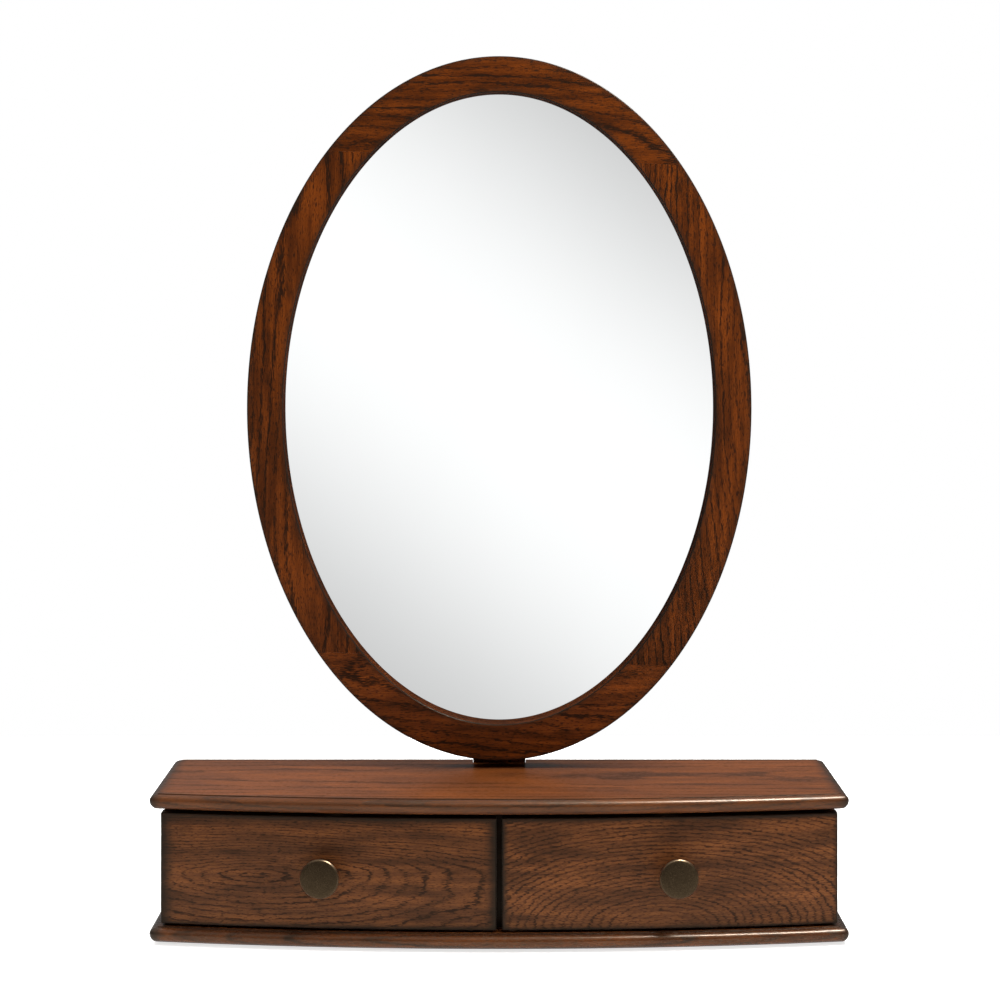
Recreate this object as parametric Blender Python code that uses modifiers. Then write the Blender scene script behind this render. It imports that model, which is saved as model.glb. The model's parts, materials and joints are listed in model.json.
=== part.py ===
"""Dressing table mirror: an oval mirror that tilts on a rear post, over a low
bow-fronted case with two drawers.

Metres, +Z up. The front faces -Y. The origin is on the surface that the felt pads
stand on, under the middle of the whole object's box.
"""

import math

import bmesh
import bpy
from mathutils import Matrix, Vector

# ---------------------------------------------------------------- driving dimensions
GAP = 0.0003                  # clearance between pieces that touch
BACK_Y = 0.0954               # back edge of the boards

WIDTH = 0.554                 # boards, end to end
BOARD_DEPTH = 0.180           # boards, back edge to the nose at the middle
BOARD_T = 0.0122              # board thickness
BOW_RADIUS = 1.600            # plan curve of the boards' nose
FRONT_CORNER = 0.0063         # plan radius of the front corners
BACK_CORNER = 0.0015          # plan radius of the back corners
NOSE_TOP = 0.0058             # upper round of the nose
NOSE_LOW = 0.0055             # lower round of the nose
QUIRK = 0.0007                # step between the board's top and its nose
QUIRK_INSET = 0.0064          # the step's distance from the nose
SHARP = 0.0003                # plan radius of a corner that is left nearly square

PAD_T = 0.0015                # felt pads
PAD_RADIUS = 0.010
PAD_X = 0.245
PAD_YS = (-0.035, 0.078)

BAY_HEIGHT = 0.0931           # clear height between the boards
SIDE_OUTER_X = 0.2676         # outer face of the case sides
SIDE_T = 0.012
DIVIDER_T = 0.014
PANEL_T = 0.005               # back panel

FRONT_SETBACK = 0.0086        # drawer fronts behind the boards' nose
FRONT_T = 0.014
FRONT_OUTER_X = 0.2686        # outer end of a drawer front
FRONT_INNER_X = 0.0021        # inner end of a drawer front
FRONT_LOW = 0.0017            # drawer front above the bottom board
FRONT_HEIGHT = 0.088
FRONT_REVEAL = 0.0010         # closed front to the case's front edges
FRONT_ARRIS = 0.0014          # round on the edges of a drawer front
CASE_ARRIS = 0.0006           # bevel on the edges of the uprights
PANEL_SETBACK = 0.0080        # sides' rear edges in front of the boards' back edge

BOX_CLEAR = 0.0015            # drawer box to the bay on each side
BOX_T = 0.008                 # drawer sides and back
BOX_HEIGHT = 0.0724
BOX_REAR_CLEAR = 0.0022
PLY_T = 0.003                 # drawer bottom
PLY_UP = 0.006                # drawer bottom above the sides' lower edge
GROOVE = 0.004
KICKER_W = 0.016              # strip that keeps an open drawer from tipping
KICKER_CLEAR = 0.0008

KNOB_X = 0.138
KNOB_PROUD = 0.0248
KNOB_RADIUS = 0.01535

OVAL_A = 0.2108               # outer half width of the mirror ring
OVAL_B = 0.2943               # outer half height of the mirror ring
OVAL_Z = 0.4198               # centre of the mirror
RING_W = 0.030                # face width
RING_T = 0.023
RING_AHEAD = 0.042            # ring's face in front of the boards' back edge
RING_ARRIS = 0.0011
REBATE = 0.008
LIP = 0.014                   # ring's face to the rebate's shoulder
GLASS_T = 0.003
BACKBOARD_T = 0.0052
JOINT_Z = 0.2092              # ring's butt joints above and below its centre
JOINT_TILT = math.radians(2.3)

POST_W = 0.044
POST_T = 0.016
PIVOT_BACK = 0.0095           # pivot in front of the boards' back edge
POST_ABOVE = 0.0085           # post above the pivot
POST_ROUND = 0.0060           # round on the post's upper corners
BRACKET_T = 0.0014
BRACKET_HALF_W = 0.042
BRACKET_HALF_H = 0.024
EAR_RADIUS = 0.0085
BOLT_HOLE_R = 0.0033
CLAMP_H = 0.0130              # clamp knob along the bolt
CLIP_HALF_L = 0.011
CLIP_HALF_W = 0.006
CLIP_T = 0.0010
CLIP_ANGLES = (38, 142, 218, 322)

# fasteners: head radius, head height, shank radius, length
CASE_SCREW = (0.0036, 0.0024, 0.0017, 0.0260)
POST_SCREW = (0.0040, 0.0026, 0.0019, 0.0190)
KNOB_SCREW = (0.0040, 0.0024, 0.0020, FRONT_T + 0.0120)
BRACKET_SCREW = (0.0034, 0.0018, 0.0016, 0.0062)
CLIP_SCREW = (0.0030, 0.0016, 0.0014, 0.0110)

OVAL_STEPS = 72               # facets round the mirror
ROUND_STEPS = 12              # facets round a screw
KNOB_STEPS = 24               # facets round a knob

# ---------------------------------------------------------------- derived places
BOTTOM_Z = PAD_T + GAP
BAY_LOW = BOTTOM_Z + BOARD_T
BAY_HIGH = BAY_LOW + BAY_HEIGHT
TOP_Z = BAY_HIGH + BOARD_T
BOW_Y = BACK_Y - BOARD_DEPTH + BOW_RADIUS
FRONT_R = BOW_RADIUS - FRONT_SETBACK
INNER_R = FRONT_R - FRONT_T
POST_Y = BACK_Y - POST_T
PANEL_Y = POST_Y - GAP - PANEL_T
BAY_OUTER_X = SIDE_OUTER_X - SIDE_T
BOX_OUTER_X = BAY_OUTER_X - BOX_CLEAR
BOX_INNER_X = DIVIDER_T / 2 + BOX_CLEAR
BOX_LOW = BAY_LOW + GAP
BOX_HIGH = BOX_LOW + BOX_HEIGHT
BOX_REAR = PANEL_Y - BOX_REAR_CLEAR
PLY_Z = BOX_LOW + PLY_UP
RING_Y = BACK_Y - RING_AHEAD
GLASS_Y = RING_Y + LIP + GAP
BACKBOARD_Y = GLASS_Y + GLASS_T + GAP
BRACKET_Y = BACKBOARD_Y + BACKBOARD_T + GAP
PIVOT_Y = BACK_Y - PIVOT_BACK
PIVOT_Z = OVAL_Z

# colour, roughness, metallic
STAIN_DARK = ((0.070, 0.026, 0.011), 0.32, 0.0)
STAIN_WARM = ((0.105, 0.038, 0.014), 0.30, 0.0)
INNER_WOOD = ((0.420, 0.270, 0.150), 0.60, 0.0)
BRONZE = ((0.060, 0.042, 0.030), 0.38, 1.0)
STEEL = ((0.560, 0.540, 0.500), 0.35, 1.0)
BLACK_STEEL = ((0.030, 0.030, 0.032), 0.45, 0.8)
MIRROR = ((0.900, 0.910, 0.910), 0.02, 1.0)
FIBREBOARD = ((0.110, 0.060, 0.035), 0.75, 0.0)
FELT = ((0.060, 0.045, 0.035), 0.95, 0.0)


# ---------------------------------------------------------------- scene and materials
def clear_scene():
    for item in list(bpy.data.objects):
        bpy.data.objects.remove(item, do_unlink=True)


def make_collection(name):
    group = bpy.data.collections.new(name)
    bpy.context.scene.collection.children.link(group)
    return group


def place(item, group):
    """Keep the object in one collection only."""
    for old in list(item.users_collection):
        old.objects.unlink(item)
    group.objects.link(item)
    return item


def finish(item, look):
    """Give a piece its own material and put it with the parts."""
    colour, roughness, metallic = look
    material = bpy.data.materials.new(item.name)
    material.use_nodes = True
    shader = material.node_tree.nodes["Principled BSDF"]
    shader.inputs["Base Color"].default_value = (*colour, 1.0)
    shader.inputs["Roughness"].default_value = roughness
    shader.inputs["Metallic"].default_value = metallic
    item.data.materials.clear()
    item.data.materials.append(material)
    return place(item, PARTS)


def as_cutter(item):
    item.hide_render = True
    item.display_type = "WIRE"
    return place(item, CUTTERS)


# ---------------------------------------------------------------- shapes
def arc(centre, radius, start, end, steps):
    """Points along a circular arc, both ends included; angles in radians."""
    angles = [start + (end - start) * i / steps for i in range(steps + 1)]
    return [(centre[0] + radius * math.cos(a), centre[1] + radius * math.sin(a)) for a in angles]


def bow_y(x, radius):
    """Depth of a curve concentric with the boards' nose."""
    return BOW_Y - math.sqrt(radius * radius - x * x)


def bow_points(x_from, x_to, radius, steps):
    """Points along a curve concentric with the nose, from one x to another."""
    start = -math.pi / 2 + math.asin(x_from / radius)
    end = -math.pi / 2 + math.asin(x_to / radius)
    return arc((0.0, BOW_Y), radius, start, end, steps)


def oval(offset, steps=OVAL_STEPS):
    """The ring's outer oval moved outwards along its normals by the offset."""
    points = []
    for i in range(steps):
        t = 2 * math.pi * i / steps
        normal = Vector((OVAL_B * math.cos(t), OVAL_A * math.sin(t))).normalized()
        points.append((OVAL_A * math.cos(t) + offset * normal.x, OVAL_B * math.sin(t) + offset * normal.y))
    return points


def curve_to_mesh(item):
    """Replace a curve object by a welded mesh object in the same place."""
    bpy.context.view_layer.update()
    evaluated = item.evaluated_get(bpy.context.evaluated_depsgraph_get())
    mesh = bpy.data.meshes.new_from_object(evaluated)
    work = bmesh.new()
    work.from_mesh(mesh)
    bmesh.ops.remove_doubles(work, verts=work.verts, dist=1e-6)
    bmesh.ops.dissolve_limit(work, angle_limit=math.radians(0.1), verts=work.verts, edges=work.edges)
    bmesh.ops.recalc_face_normals(work, faces=work.faces)
    work.to_mesh(mesh)
    work.free()
    name = item.name
    matrix = item.matrix_world.copy()
    bpy.data.objects.remove(item, do_unlink=True)
    solid = bpy.data.objects.new(name, mesh)
    bpy.context.scene.collection.objects.link(solid)
    solid.matrix_world = matrix
    return solid


def plate(name, outline, thickness, matrix=None):
    """A flat outline given a thickness upwards from its own plane."""
    curve = bpy.data.curves.new(name, "CURVE")
    curve.dimensions = "2D"
    curve.fill_mode = "BOTH"
    curve.extrude = thickness / 2
    spline = curve.splines.new("POLY")
    spline.points.add(len(outline) - 1)
    for point, (x, y) in zip(spline.points, outline):
        point.co = (x, y, 0.0, 1.0)
    spline.use_cyclic_u = True
    item = bpy.data.objects.new(name, curve)
    bpy.context.scene.collection.objects.link(item)
    item.matrix_world = (matrix or Matrix()) @ Matrix.Translation((0, 0, thickness / 2))
    return curve_to_mesh(item)


def upright_plate(name, outline, y_front, thickness, centre=(0.0, 0.0)):
    """A plate whose outline stands in the X-Z plane, its front face at y_front."""
    turn = Matrix.Rotation(math.radians(90), 4, "X")
    shift = Matrix.Translation((centre[0], y_front + thickness, centre[1]))
    return plate(name, outline, thickness, shift @ turn)


def box(name, low, high):
    """A box between two corners, centred on its own origin."""
    bpy.ops.mesh.primitive_cube_add(size=1.0)
    item = bpy.context.active_object
    item.name = name
    size = Vector(high) - Vector(low)
    item.data.transform(Matrix.Diagonal((*size, 1.0)))
    item.location = (Vector(high) + Vector(low)) / 2
    return item


def turned(name, profile, steps, matrix):
    """A profile of (radius, height) points, top to bottom, turned about local Z."""
    mesh = bpy.data.meshes.new(name)
    points = [(radius, 0.0, height) for radius, height in profile]
    mesh.from_pydata(points, [(i, i + 1) for i in range(len(points) - 1)], [])
    item = bpy.data.objects.new(name, mesh)
    bpy.context.scene.collection.objects.link(item)
    item.matrix_world = matrix
    screw = item.modifiers.new("turn", "SCREW")
    screw.steps = steps
    screw.render_steps = steps
    screw.use_merge_vertices = True
    screw.merge_threshold = 1e-6
    screw.use_smooth_shade = True
    return item


def round_edges(item, wanted, radius, segments):
    """Round the edges that the test picks; the test reads both ends in world space."""
    bpy.context.view_layer.update()
    work = bmesh.new()
    work.from_mesh(item.data)
    world = item.matrix_world
    edges = [e for e in work.edges if wanted(world @ e.verts[0].co, world @ e.verts[1].co)]
    bmesh.ops.bevel(work, geom=edges, offset=radius, segments=segments, profile=0.5,
                    affect="EDGES", clamp_overlap=False)
    work.to_mesh(item.data)
    work.free()
    return item


def bevel_all(item, width, segments=1):
    """Ease every sharp edge of a piece."""
    bevel = item.modifiers.new("arris", "BEVEL")
    bevel.width = width
    bevel.segments = segments
    bevel.limit_method = "ANGLE"
    bevel.angle_limit = math.radians(40)
    return item


def combine(item, other, operation):
    boolean = item.modifiers.new(operation.lower(), "BOOLEAN")
    boolean.operation = operation
    boolean.object = other
    boolean.solver = "EXACT"
    return item


def frame_along(origin, direction):
    """Matrix that puts local Z along a direction, at a point."""
    turn = Vector(direction).to_track_quat("Z", "Y").to_matrix().to_4x4()
    return Matrix.Translation(origin) @ turn


def near(a, b, slack=1e-5):
    return abs(a - b) < slack


# ---------------------------------------------------------------- fasteners
def pan_screw(head_r, head_h, shank_r, length, grow=0.0):
    """Screw profile: its head stands above zero and its shank runs below it."""
    return [
        (0.0, head_h + grow),
        (head_r * 0.55 + grow, head_h * 0.92 + grow),
        (head_r + grow, head_h * 0.45 + grow),
        (head_r + grow, -grow),
        (shank_r + grow, -grow),
        (shank_r + grow, -length * 0.88),
        (shank_r * 0.5 + grow, -length - grow),
        (0.0, -length - grow),
    ]


def flat_screw(head_r, head_h, shank_r, length, grow=0.0):
    """Countersunk screw profile: its flat head is at zero."""
    return [
        (0.0, 4 * grow),
        (head_r + grow, 4 * grow),
        (head_r + grow, -0.0004),
        (shank_r + grow, -head_h - grow),
        (shank_r + grow, -length * 0.88),
        (shank_r * 0.5 + grow, -length - grow),
        (0.0, -length - grow),
    ]


def fasten(name, profile, sizes, matrix, look, through):
    """A screw and the clearance hole that it needs in each piece it passes."""
    screw = turned(name, profile(*sizes), ROUND_STEPS, matrix)
    hole = as_cutter(turned(name + "_hole", profile(*sizes, GAP), ROUND_STEPS, matrix))
    for item in through:
        combine(item, hole, "DIFFERENCE")
    return finish(screw, look)


# ---------------------------------------------------------------- case
def board_outline(inset):
    """Bowed front, straight ends, straight back; the back edge takes no inset."""
    half = WIDTH / 2 - inset
    radius = BOW_RADIUS - inset
    corner = max(FRONT_CORNER - inset, SHARP)
    reach = half - corner
    corner_y = bow_y(reach, radius - corner)
    lean = math.asin(reach / (radius - corner))
    down = -math.pi / 2
    front = arc((0.0, BOW_Y), radius, down - lean, down + lean, 20)
    left = arc((-reach, corner_y), corner, -math.pi, down - lean, 4)
    right = arc((reach, corner_y), corner, down + lean, 0.0, 4)
    back = BACK_CORNER if inset == 0 else SHARP
    back_right = arc((half - back, BACK_Y - back), back, 0.0, math.pi / 2, 2)
    back_left = arc((back - half, BACK_Y - back), back, math.pi / 2, math.pi, 2)
    return left[:-1] + front + right[1:] + back_right + back_left


def moulded_board(name, z_low):
    """A board with a round nose on its front and ends, stepped down from its top."""
    at = Matrix.Translation((0, 0, z_low))
    nose_z = z_low + BOARD_T - QUIRK
    board = plate(name, board_outline(0.0), BOARD_T - QUIRK, at)
    behind = BACK_Y - BACK_CORNER - 1e-4

    def rim_at(height):
        return lambda a, b: near(a.z, height) and near(b.z, height) and min(a.y, b.y) < behind

    round_edges(board, rim_at(nose_z), NOSE_TOP, 3)
    round_edges(board, rim_at(z_low), NOSE_LOW, 3)
    core = as_cutter(plate(name + "_core", board_outline(QUIRK_INSET), BOARD_T, at))
    combine(board, core, "UNION")
    return finish(board, STAIN_WARM)


def make_boards():
    top = moulded_board("top_board", BAY_HIGH)
    notch_low = (-POST_W / 2 - GAP, POST_Y - GAP, BAY_HIGH - 0.01)
    notch = as_cutter(box("post_notch", notch_low, (POST_W / 2 + GAP, BACK_Y + 0.01, TOP_Z + 0.01)))
    combine(top, notch, "DIFFERENCE")
    return top, moulded_board("bottom_board", BOTTOM_Z)


def make_uprights():
    """The two case sides, the divider and the back panel, between the boards."""
    low = BAY_LOW + GAP
    high = BAY_HIGH - GAP
    side_front = bow_y(BAY_OUTER_X, INNER_R) + FRONT_REVEAL
    end_front = bow_y(SIDE_OUTER_X, INNER_R) + FRONT_REVEAL
    side_back = BACK_Y - PANEL_SETBACK
    made = []
    for name, sign in (("left_side", -1), ("right_side", 1)):
        outline = [(sign * BAY_OUTER_X, side_front), (sign * SIDE_OUTER_X, end_front),
                   (sign * SIDE_OUTER_X, side_back), (sign * BAY_OUTER_X, side_back)]
        side = plate(name, outline, high - low, Matrix.Translation((0, 0, low)))
        made.append(finish(bevel_all(side, CASE_ARRIS), STAIN_DARK))
    half = DIVIDER_T / 2
    divider_front = bow_y(half, INNER_R) + FRONT_REVEAL
    divider = box("centre_divider", (-half, divider_front, low), (half, PANEL_Y - GAP, high))
    made.append(finish(bevel_all(divider, CASE_ARRIS), STAIN_DARK))
    edge = BAY_OUTER_X - GAP
    panel = box("back_panel", (-edge, PANEL_Y, low), (edge, PANEL_Y + PANEL_T, high))
    made.append(finish(panel, FIBREBOARD))
    return made


def make_kickers():
    """Strips under the top board that an open drawer bears up against."""
    middle = (BAY_OUTER_X + DIVIDER_T / 2) / 2
    front = bow_y(middle, INNER_R) + FRONT_REVEAL + 0.001
    for name, sign in (("left_kicker", -1), ("right_kicker", 1)):
        x = sign * middle
        strip = box(name, (x - KICKER_W / 2, front, BOX_HIGH + KICKER_CLEAR),
                    (x + KICKER_W / 2, PANEL_Y - GAP, BAY_HIGH - GAP))
        finish(bevel_all(strip, CASE_ARRIS), INNER_WOOD)


def make_case_screws(bottom, left, right, divider):
    """Countersunk screws up through the bottom board into the uprights."""
    middle_x = (SIDE_OUTER_X + BAY_OUTER_X) / 2
    places = (("left", -middle_x, left), ("middle", 0.0, divider), ("right", middle_x, right))
    for side, x, upright in places:
        for end, y in (("front", -0.020), ("rear", 0.055)):
            at = frame_along((x, y, BOTTOM_Z + GAP), (0, 0, -1))
            name = "case_screw_%s_%s" % (side, end)
            fasten(name, flat_screw, CASE_SCREW, at, STEEL, (bottom, upright))


def make_pads():
    for side, x in (("left", -PAD_X), ("right", PAD_X)):
        for end, y in zip(("front", "rear"), PAD_YS):
            bpy.ops.mesh.primitive_cylinder_add(vertices=16, radius=PAD_RADIUS, depth=PAD_T,
                                                location=(x, y, PAD_T / 2))
            pad = bpy.context.active_object
            pad.name = "felt_pad_%s_%s" % (side, end)
            finish(pad, FELT)


# ---------------------------------------------------------------- post and pivot
def make_post(panel):
    """The upright behind the mirror, its foot on the bottom board."""
    top = PIVOT_Z + POST_ABOVE
    half = POST_W / 2
    post = box("mirror_post", (-half, POST_Y, BAY_LOW + GAP), (half, BACK_Y, top))
    round_edges(post, lambda a, b: near(a.z, top) and near(b.z, top) and near(a.y, b.y), POST_ROUND, 3)
    bevel_all(post, 0.0010)
    for name, z in (("post_screw_lower", 0.038), ("post_screw_upper", 0.084)):
        at = frame_along((0.0, BACK_Y - GAP, z), (0, 1, 0))
        fasten(name, flat_screw, POST_SCREW, at, STEEL, (post, panel))
    return finish(post, STAIN_DARK)


def make_pivot(post):
    """A coach bolt across the post, clamped by a hand knob."""
    outer = POST_W / 2 + 2 * GAP + BRACKET_T + GAP
    at = frame_along((-outer, PIVOT_Y, PIVOT_Z), (-1, 0, 0))
    bolt_length = 2 * outer + 0.009
    bolt = turned("pivot_bolt", pan_screw(0.0065, 0.0032, 0.0030, bolt_length), 16, at)
    bore = [(0.0, 0.05), (BOLT_HOLE_R, 0.05), (BOLT_HOLE_R, -0.09), (0.0, -0.09)]
    hole = as_cutter(turned("pivot_hole", bore, 16, at))
    combine(post, hole, "DIFFERENCE")
    finish(bolt, BLACK_STEEL)
    profile = [(0.0, CLAMP_H), (0.0045, CLAMP_H), (0.0065, 0.0120), (0.0073, 0.0100), (0.0073, 0.0048),
               (0.0062, 0.0030), (0.0054, 0.0), (BOLT_HOLE_R, 0.0), (BOLT_HOLE_R, 0.0110), (0.0, 0.0110)]
    at = frame_along((outer, PIVOT_Y, PIVOT_Z), (1, 0, 0))
    finish(turned("clamp_knob", profile, KNOB_STEPS, at), BLACK_STEEL)
    return hole


# ---------------------------------------------------------------- drawers
def front_outline(sign):
    outer = bow_points(FRONT_INNER_X, FRONT_OUTER_X, FRONT_R, 12)
    inner = bow_points(FRONT_INNER_X, FRONT_OUTER_X, INNER_R, 12)
    return [(sign * x, y) for x, y in outer + inner[::-1]]


def make_drawer_front(name, sign):
    low = BAY_LOW + FRONT_LOW
    front = plate(name, front_outline(sign), FRONT_HEIGHT, Matrix.Translation((0, 0, low)))

    def on_rim(a, b):
        """Both ends on the bowed face, along its top, its bottom or one of its ends."""
        on_face = all(near(math.hypot(p.x, p.y - BOW_Y), FRONT_R) for p in (a, b))
        level = near(a.z, b.z)
        at_end = near(abs(a.x), FRONT_INNER_X) or near(abs(a.x), FRONT_OUTER_X)
        return on_face and (level or at_end)

    return round_edges(front, on_rim, FRONT_ARRIS, 2)


def drawer_plate(name, sign, x_low, x_high, y_high, z_low, z_high, radius):
    """A board of the drawer box whose front end follows the bow at a radius."""
    steps = 8 if x_high - x_low > 0.05 else 1
    points = bow_points(x_low, x_high, radius, steps) + [(x_high, y_high), (x_low, y_high)]
    outline = [(sign * x, y) for x, y in points]
    return plate(name, outline, z_high - z_low, Matrix.Translation((0, 0, z_low)))


def make_knob(side, sign, front):
    """A turned pull on the front's normal, held by a screw from inside."""
    x = sign * KNOB_X
    normal = Vector((x, bow_y(KNOB_X, FRONT_R) - BOW_Y, 0.0)).normalized()
    foot = Vector((x, bow_y(KNOB_X, FRONT_R), BAY_LOW + FRONT_LOW + FRONT_HEIGHT / 2))
    at = frame_along(foot, normal)
    rim = KNOB_RADIUS
    top = KNOB_PROUD
    dome = [(0.0, top), (rim * 0.5, top - 0.0002), (rim * 0.86, top - 0.0008),
            (rim * 0.96, top - 0.0014), (rim, top - 0.0026)]
    neck = [(rim * 0.97, top - 0.0039), (rim * 0.82, top - 0.0060), (rim * 0.56, top - 0.0086),
            (0.0062, 0.0125), (0.0060, 0.0070), (0.0074, 0.0032), (0.0095, 0.0015)]
    bore = [(0.0096, GAP), (0.0023, GAP), (0.0023, 0.0135), (0.0, 0.0135)]
    finish(turned(side + "_knob", dome + neck + bore, KNOB_STEPS, at), BRONZE)
    inside = frame_along(foot - normal * (FRONT_T + GAP), -normal)
    fasten(side + "_knob_screw", pan_screw, KNOB_SCREW, inside, STEEL, (front,))


def make_drawer(side, sign):
    front = make_drawer_front(side + "_drawer_front", sign)
    against = INNER_R - GAP
    outer = drawer_plate(side + "_drawer_outer_side", sign, BOX_OUTER_X - BOX_T, BOX_OUTER_X,
                         BOX_REAR, BOX_LOW, BOX_HIGH, against)
    inner = drawer_plate(side + "_drawer_inner_side", sign, BOX_INNER_X, BOX_INNER_X + BOX_T,
                         BOX_REAR, BOX_LOW, BOX_HIGH, against)
    x_low = BOX_INNER_X + BOX_T
    x_high = BOX_OUTER_X - BOX_T
    corners = sorted((sign * (x_low + GAP), sign * (x_high - GAP)))
    back = box(side + "_drawer_back", (corners[0], BOX_REAR - BOX_T, PLY_Z + PLY_T + GAP),
               (corners[1], BOX_REAR, BOX_HIGH))
    bottom = drawer_plate(side + "_drawer_bottom", sign, x_low - GROOVE + GAP, x_high + GROOVE - GAP,
                          BOX_REAR - GAP, PLY_Z, PLY_Z + PLY_T, INNER_R + GROOVE - GAP)
    groove = as_cutter(drawer_plate(side + "_groove", sign, x_low - GROOVE, x_high + GROOVE,
                                    BOX_REAR + 0.01, PLY_Z - GAP, PLY_Z + PLY_T + GAP, INNER_R + GROOVE))
    for item in (front, outer, inner):
        combine(item, groove, "DIFFERENCE")
    make_knob(side, sign, front)
    finish(front, STAIN_DARK)
    for item in (outer, inner, back):
        finish(item, INNER_WOOD)
    finish(bottom, INNER_WOOD)


# ---------------------------------------------------------------- mirror
def ring_section():
    """Section of the ring: across from its middle line, back from its face."""
    half = RING_W / 2
    arris = RING_ARRIS
    outer = arc((half - arris, arris), arris, -math.pi / 2, 0.0, 2)
    inner = arc((arris - half, arris), arris, math.pi, 1.5 * math.pi, 2)
    back = [(half, RING_T - 0.0005), (half - 0.0005, RING_T), (REBATE - half, RING_T),
            (REBATE - half, LIP), (-half, LIP)]
    return outer + back + inner


def swept_ring(name):
    """The ring's section carried round its middle line."""
    section = bpy.data.curves.new(name + "_section", "CURVE")
    section.dimensions = "2D"
    points = ring_section()
    spline = section.splines.new("POLY")
    spline.points.add(len(points) - 1)
    for point, (across, back) in zip(spline.points, points):
        point.co = (across, -back, 0.0, 1.0)
    spline.use_cyclic_u = True
    shape = bpy.data.objects.new(name + "_section", section)
    bpy.context.scene.collection.objects.link(shape)
    path = bpy.data.curves.new(name, "CURVE")
    path.dimensions = "3D"
    path.twist_mode = "Z_UP"
    path.bevel_mode = "OBJECT"
    path.bevel_object = shape
    spline = path.splines.new("POLY")
    route = oval(-RING_W / 2)
    spline.points.add(len(route) - 1)
    for point, (x, z) in zip(spline.points, route):
        point.co = (x, z, 0.0, 1.0)
    spline.use_cyclic_u = True
    item = bpy.data.objects.new(name, path)
    bpy.context.scene.collection.objects.link(item)
    item.matrix_world = Matrix.Translation((0, RING_Y, OVAL_Z)) @ Matrix.Rotation(math.radians(90), 4, "X")
    ring = curve_to_mesh(item)
    bpy.data.objects.remove(shape, do_unlink=True)
    return ring


def make_ring():
    """The ring in four lengths, butted at level joints."""
    whole = as_cutter(swept_ring("ring_blank"))
    far = 0.4
    cut = JOINT_Z - GAP / 2
    over = JOINT_Z + GAP / 2
    zones = {
        "ring_top": ((-far, over), (far, far)),
        "ring_bottom": ((-far, -far), (far, -over)),
        "ring_left": ((-far, -cut), (0.0, cut)),
        "ring_right": ((0.0, -cut), (far, cut)),
    }
    turn = Matrix.Translation((0, 0, OVAL_Z)) @ Matrix.Rotation(JOINT_TILT, 4, "Y")
    pieces = {}
    for name, ((x_low, z_low), (x_high, z_high)) in zones.items():
        zone = as_cutter(box(name + "_zone", (x_low, -0.05, z_low), (x_high, 0.2, z_high)))
        zone.matrix_world = turn @ Matrix.Translation(zone.location)
        piece = bpy.data.objects.new(name, whole.data.copy())
        bpy.context.scene.collection.objects.link(piece)
        piece.matrix_world = whole.matrix_world.copy()
        combine(piece, zone, "INTERSECT")
        pieces[name] = finish(piece, STAIN_WARM)
    return pieces


def make_glass_and_back():
    rebate = -RING_W + REBATE - 0.0005
    glass = upright_plate("mirror_glass", oval(rebate), GLASS_Y, GLASS_T, (0.0, OVAL_Z))
    finish(glass, MIRROR)
    board = upright_plate("mirror_backboard", oval(rebate), BACKBOARD_Y, BACKBOARD_T, (0.0, OVAL_Z))
    return finish(board, FIBREBOARD)


def make_bracket(backboard, pivot_hole):
    """A steel plate on the backboard with two ears that straddle the post."""
    bracket = box("tilt_bracket", (-BRACKET_HALF_W, BRACKET_Y, PIVOT_Z - BRACKET_HALF_H),
                  (BRACKET_HALF_W, BRACKET_Y + BRACKET_T, PIVOT_Z + BRACKET_HALF_H))
    round_edges(bracket, lambda a, b: near(a.x, b.x) and near(a.z, b.z), 0.005, 3)
    reach = PIVOT_Y - BRACKET_Y - BRACKET_T / 2
    tip = arc((0, 0), EAR_RADIUS, -math.pi / 2, math.pi / 2, 8)
    outline = [(-reach, -EAR_RADIUS)] + tip + [(-reach, EAR_RADIUS)]
    inner = POST_W / 2 + 2 * GAP
    lie = Matrix(((0, 0, 1, 0), (1, 0, 0, 0), (0, 1, 0, 0), (0, 0, 0, 1)))
    for name, x in (("left_ear", -inner - BRACKET_T), ("right_ear", inner)):
        ear = as_cutter(plate(name, outline, BRACKET_T, Matrix.Translation((x, PIVOT_Y, PIVOT_Z)) @ lie))
        combine(bracket, ear, "UNION")
    combine(bracket, pivot_hole, "DIFFERENCE")
    face = BRACKET_Y + BRACKET_T + GAP
    x = BRACKET_HALF_W - 0.008
    z = BRACKET_HALF_H - 0.009
    for number, (side, end) in enumerate(((-1, 1), (1, 1), (-1, -1), (1, -1)), 1):
        at = frame_along((side * x, face, PIVOT_Z + end * z), (0, 1, 0))
        name = "bracket_screw_%d" % number
        fasten(name, pan_screw, BRACKET_SCREW, at, STEEL, (bracket, backboard))
    return finish(bracket, BLACK_STEEL)


def make_clips(ring):
    """Flat clips on the ring's back that keep the backboard in its rebate."""
    y = RING_Y + RING_T + GAP
    for number, angle in enumerate(CLIP_ANGLES, 1):
        t = math.radians(angle)
        normal = Vector((OVAL_B * math.cos(t), OVAL_A * math.sin(t))).normalized()
        edge = Vector((OVAL_A * math.cos(t), OVAL_B * math.sin(t))) - normal * (RING_W - REBATE)
        turn = Matrix.Rotation(-math.atan2(normal.y, normal.x), 4, "Y")
        clip = box("backboard_clip_%d" % number, (-CLIP_HALF_L, 0.0, -CLIP_HALF_W),
                   (CLIP_HALF_L, CLIP_T, CLIP_HALF_W))
        round_edges(clip, lambda a, b: near(a.x, b.x) and near(a.z, b.z), 0.003, 3)
        clip.matrix_world = Matrix.Translation((edge.x, y + CLIP_T / 2, OVAL_Z + edge.y)) @ turn
        hold = edge + normal * 0.006
        at = frame_along((hold.x, y + CLIP_T + GAP, OVAL_Z + hold.y), (0, 1, 0))
        side = ring["ring_right"] if hold.x > 0 else ring["ring_left"]
        fasten("clip_screw_%d" % number, pan_screw, CLIP_SCREW, at, STEEL, (clip, side))
        finish(clip, STEEL)


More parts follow.
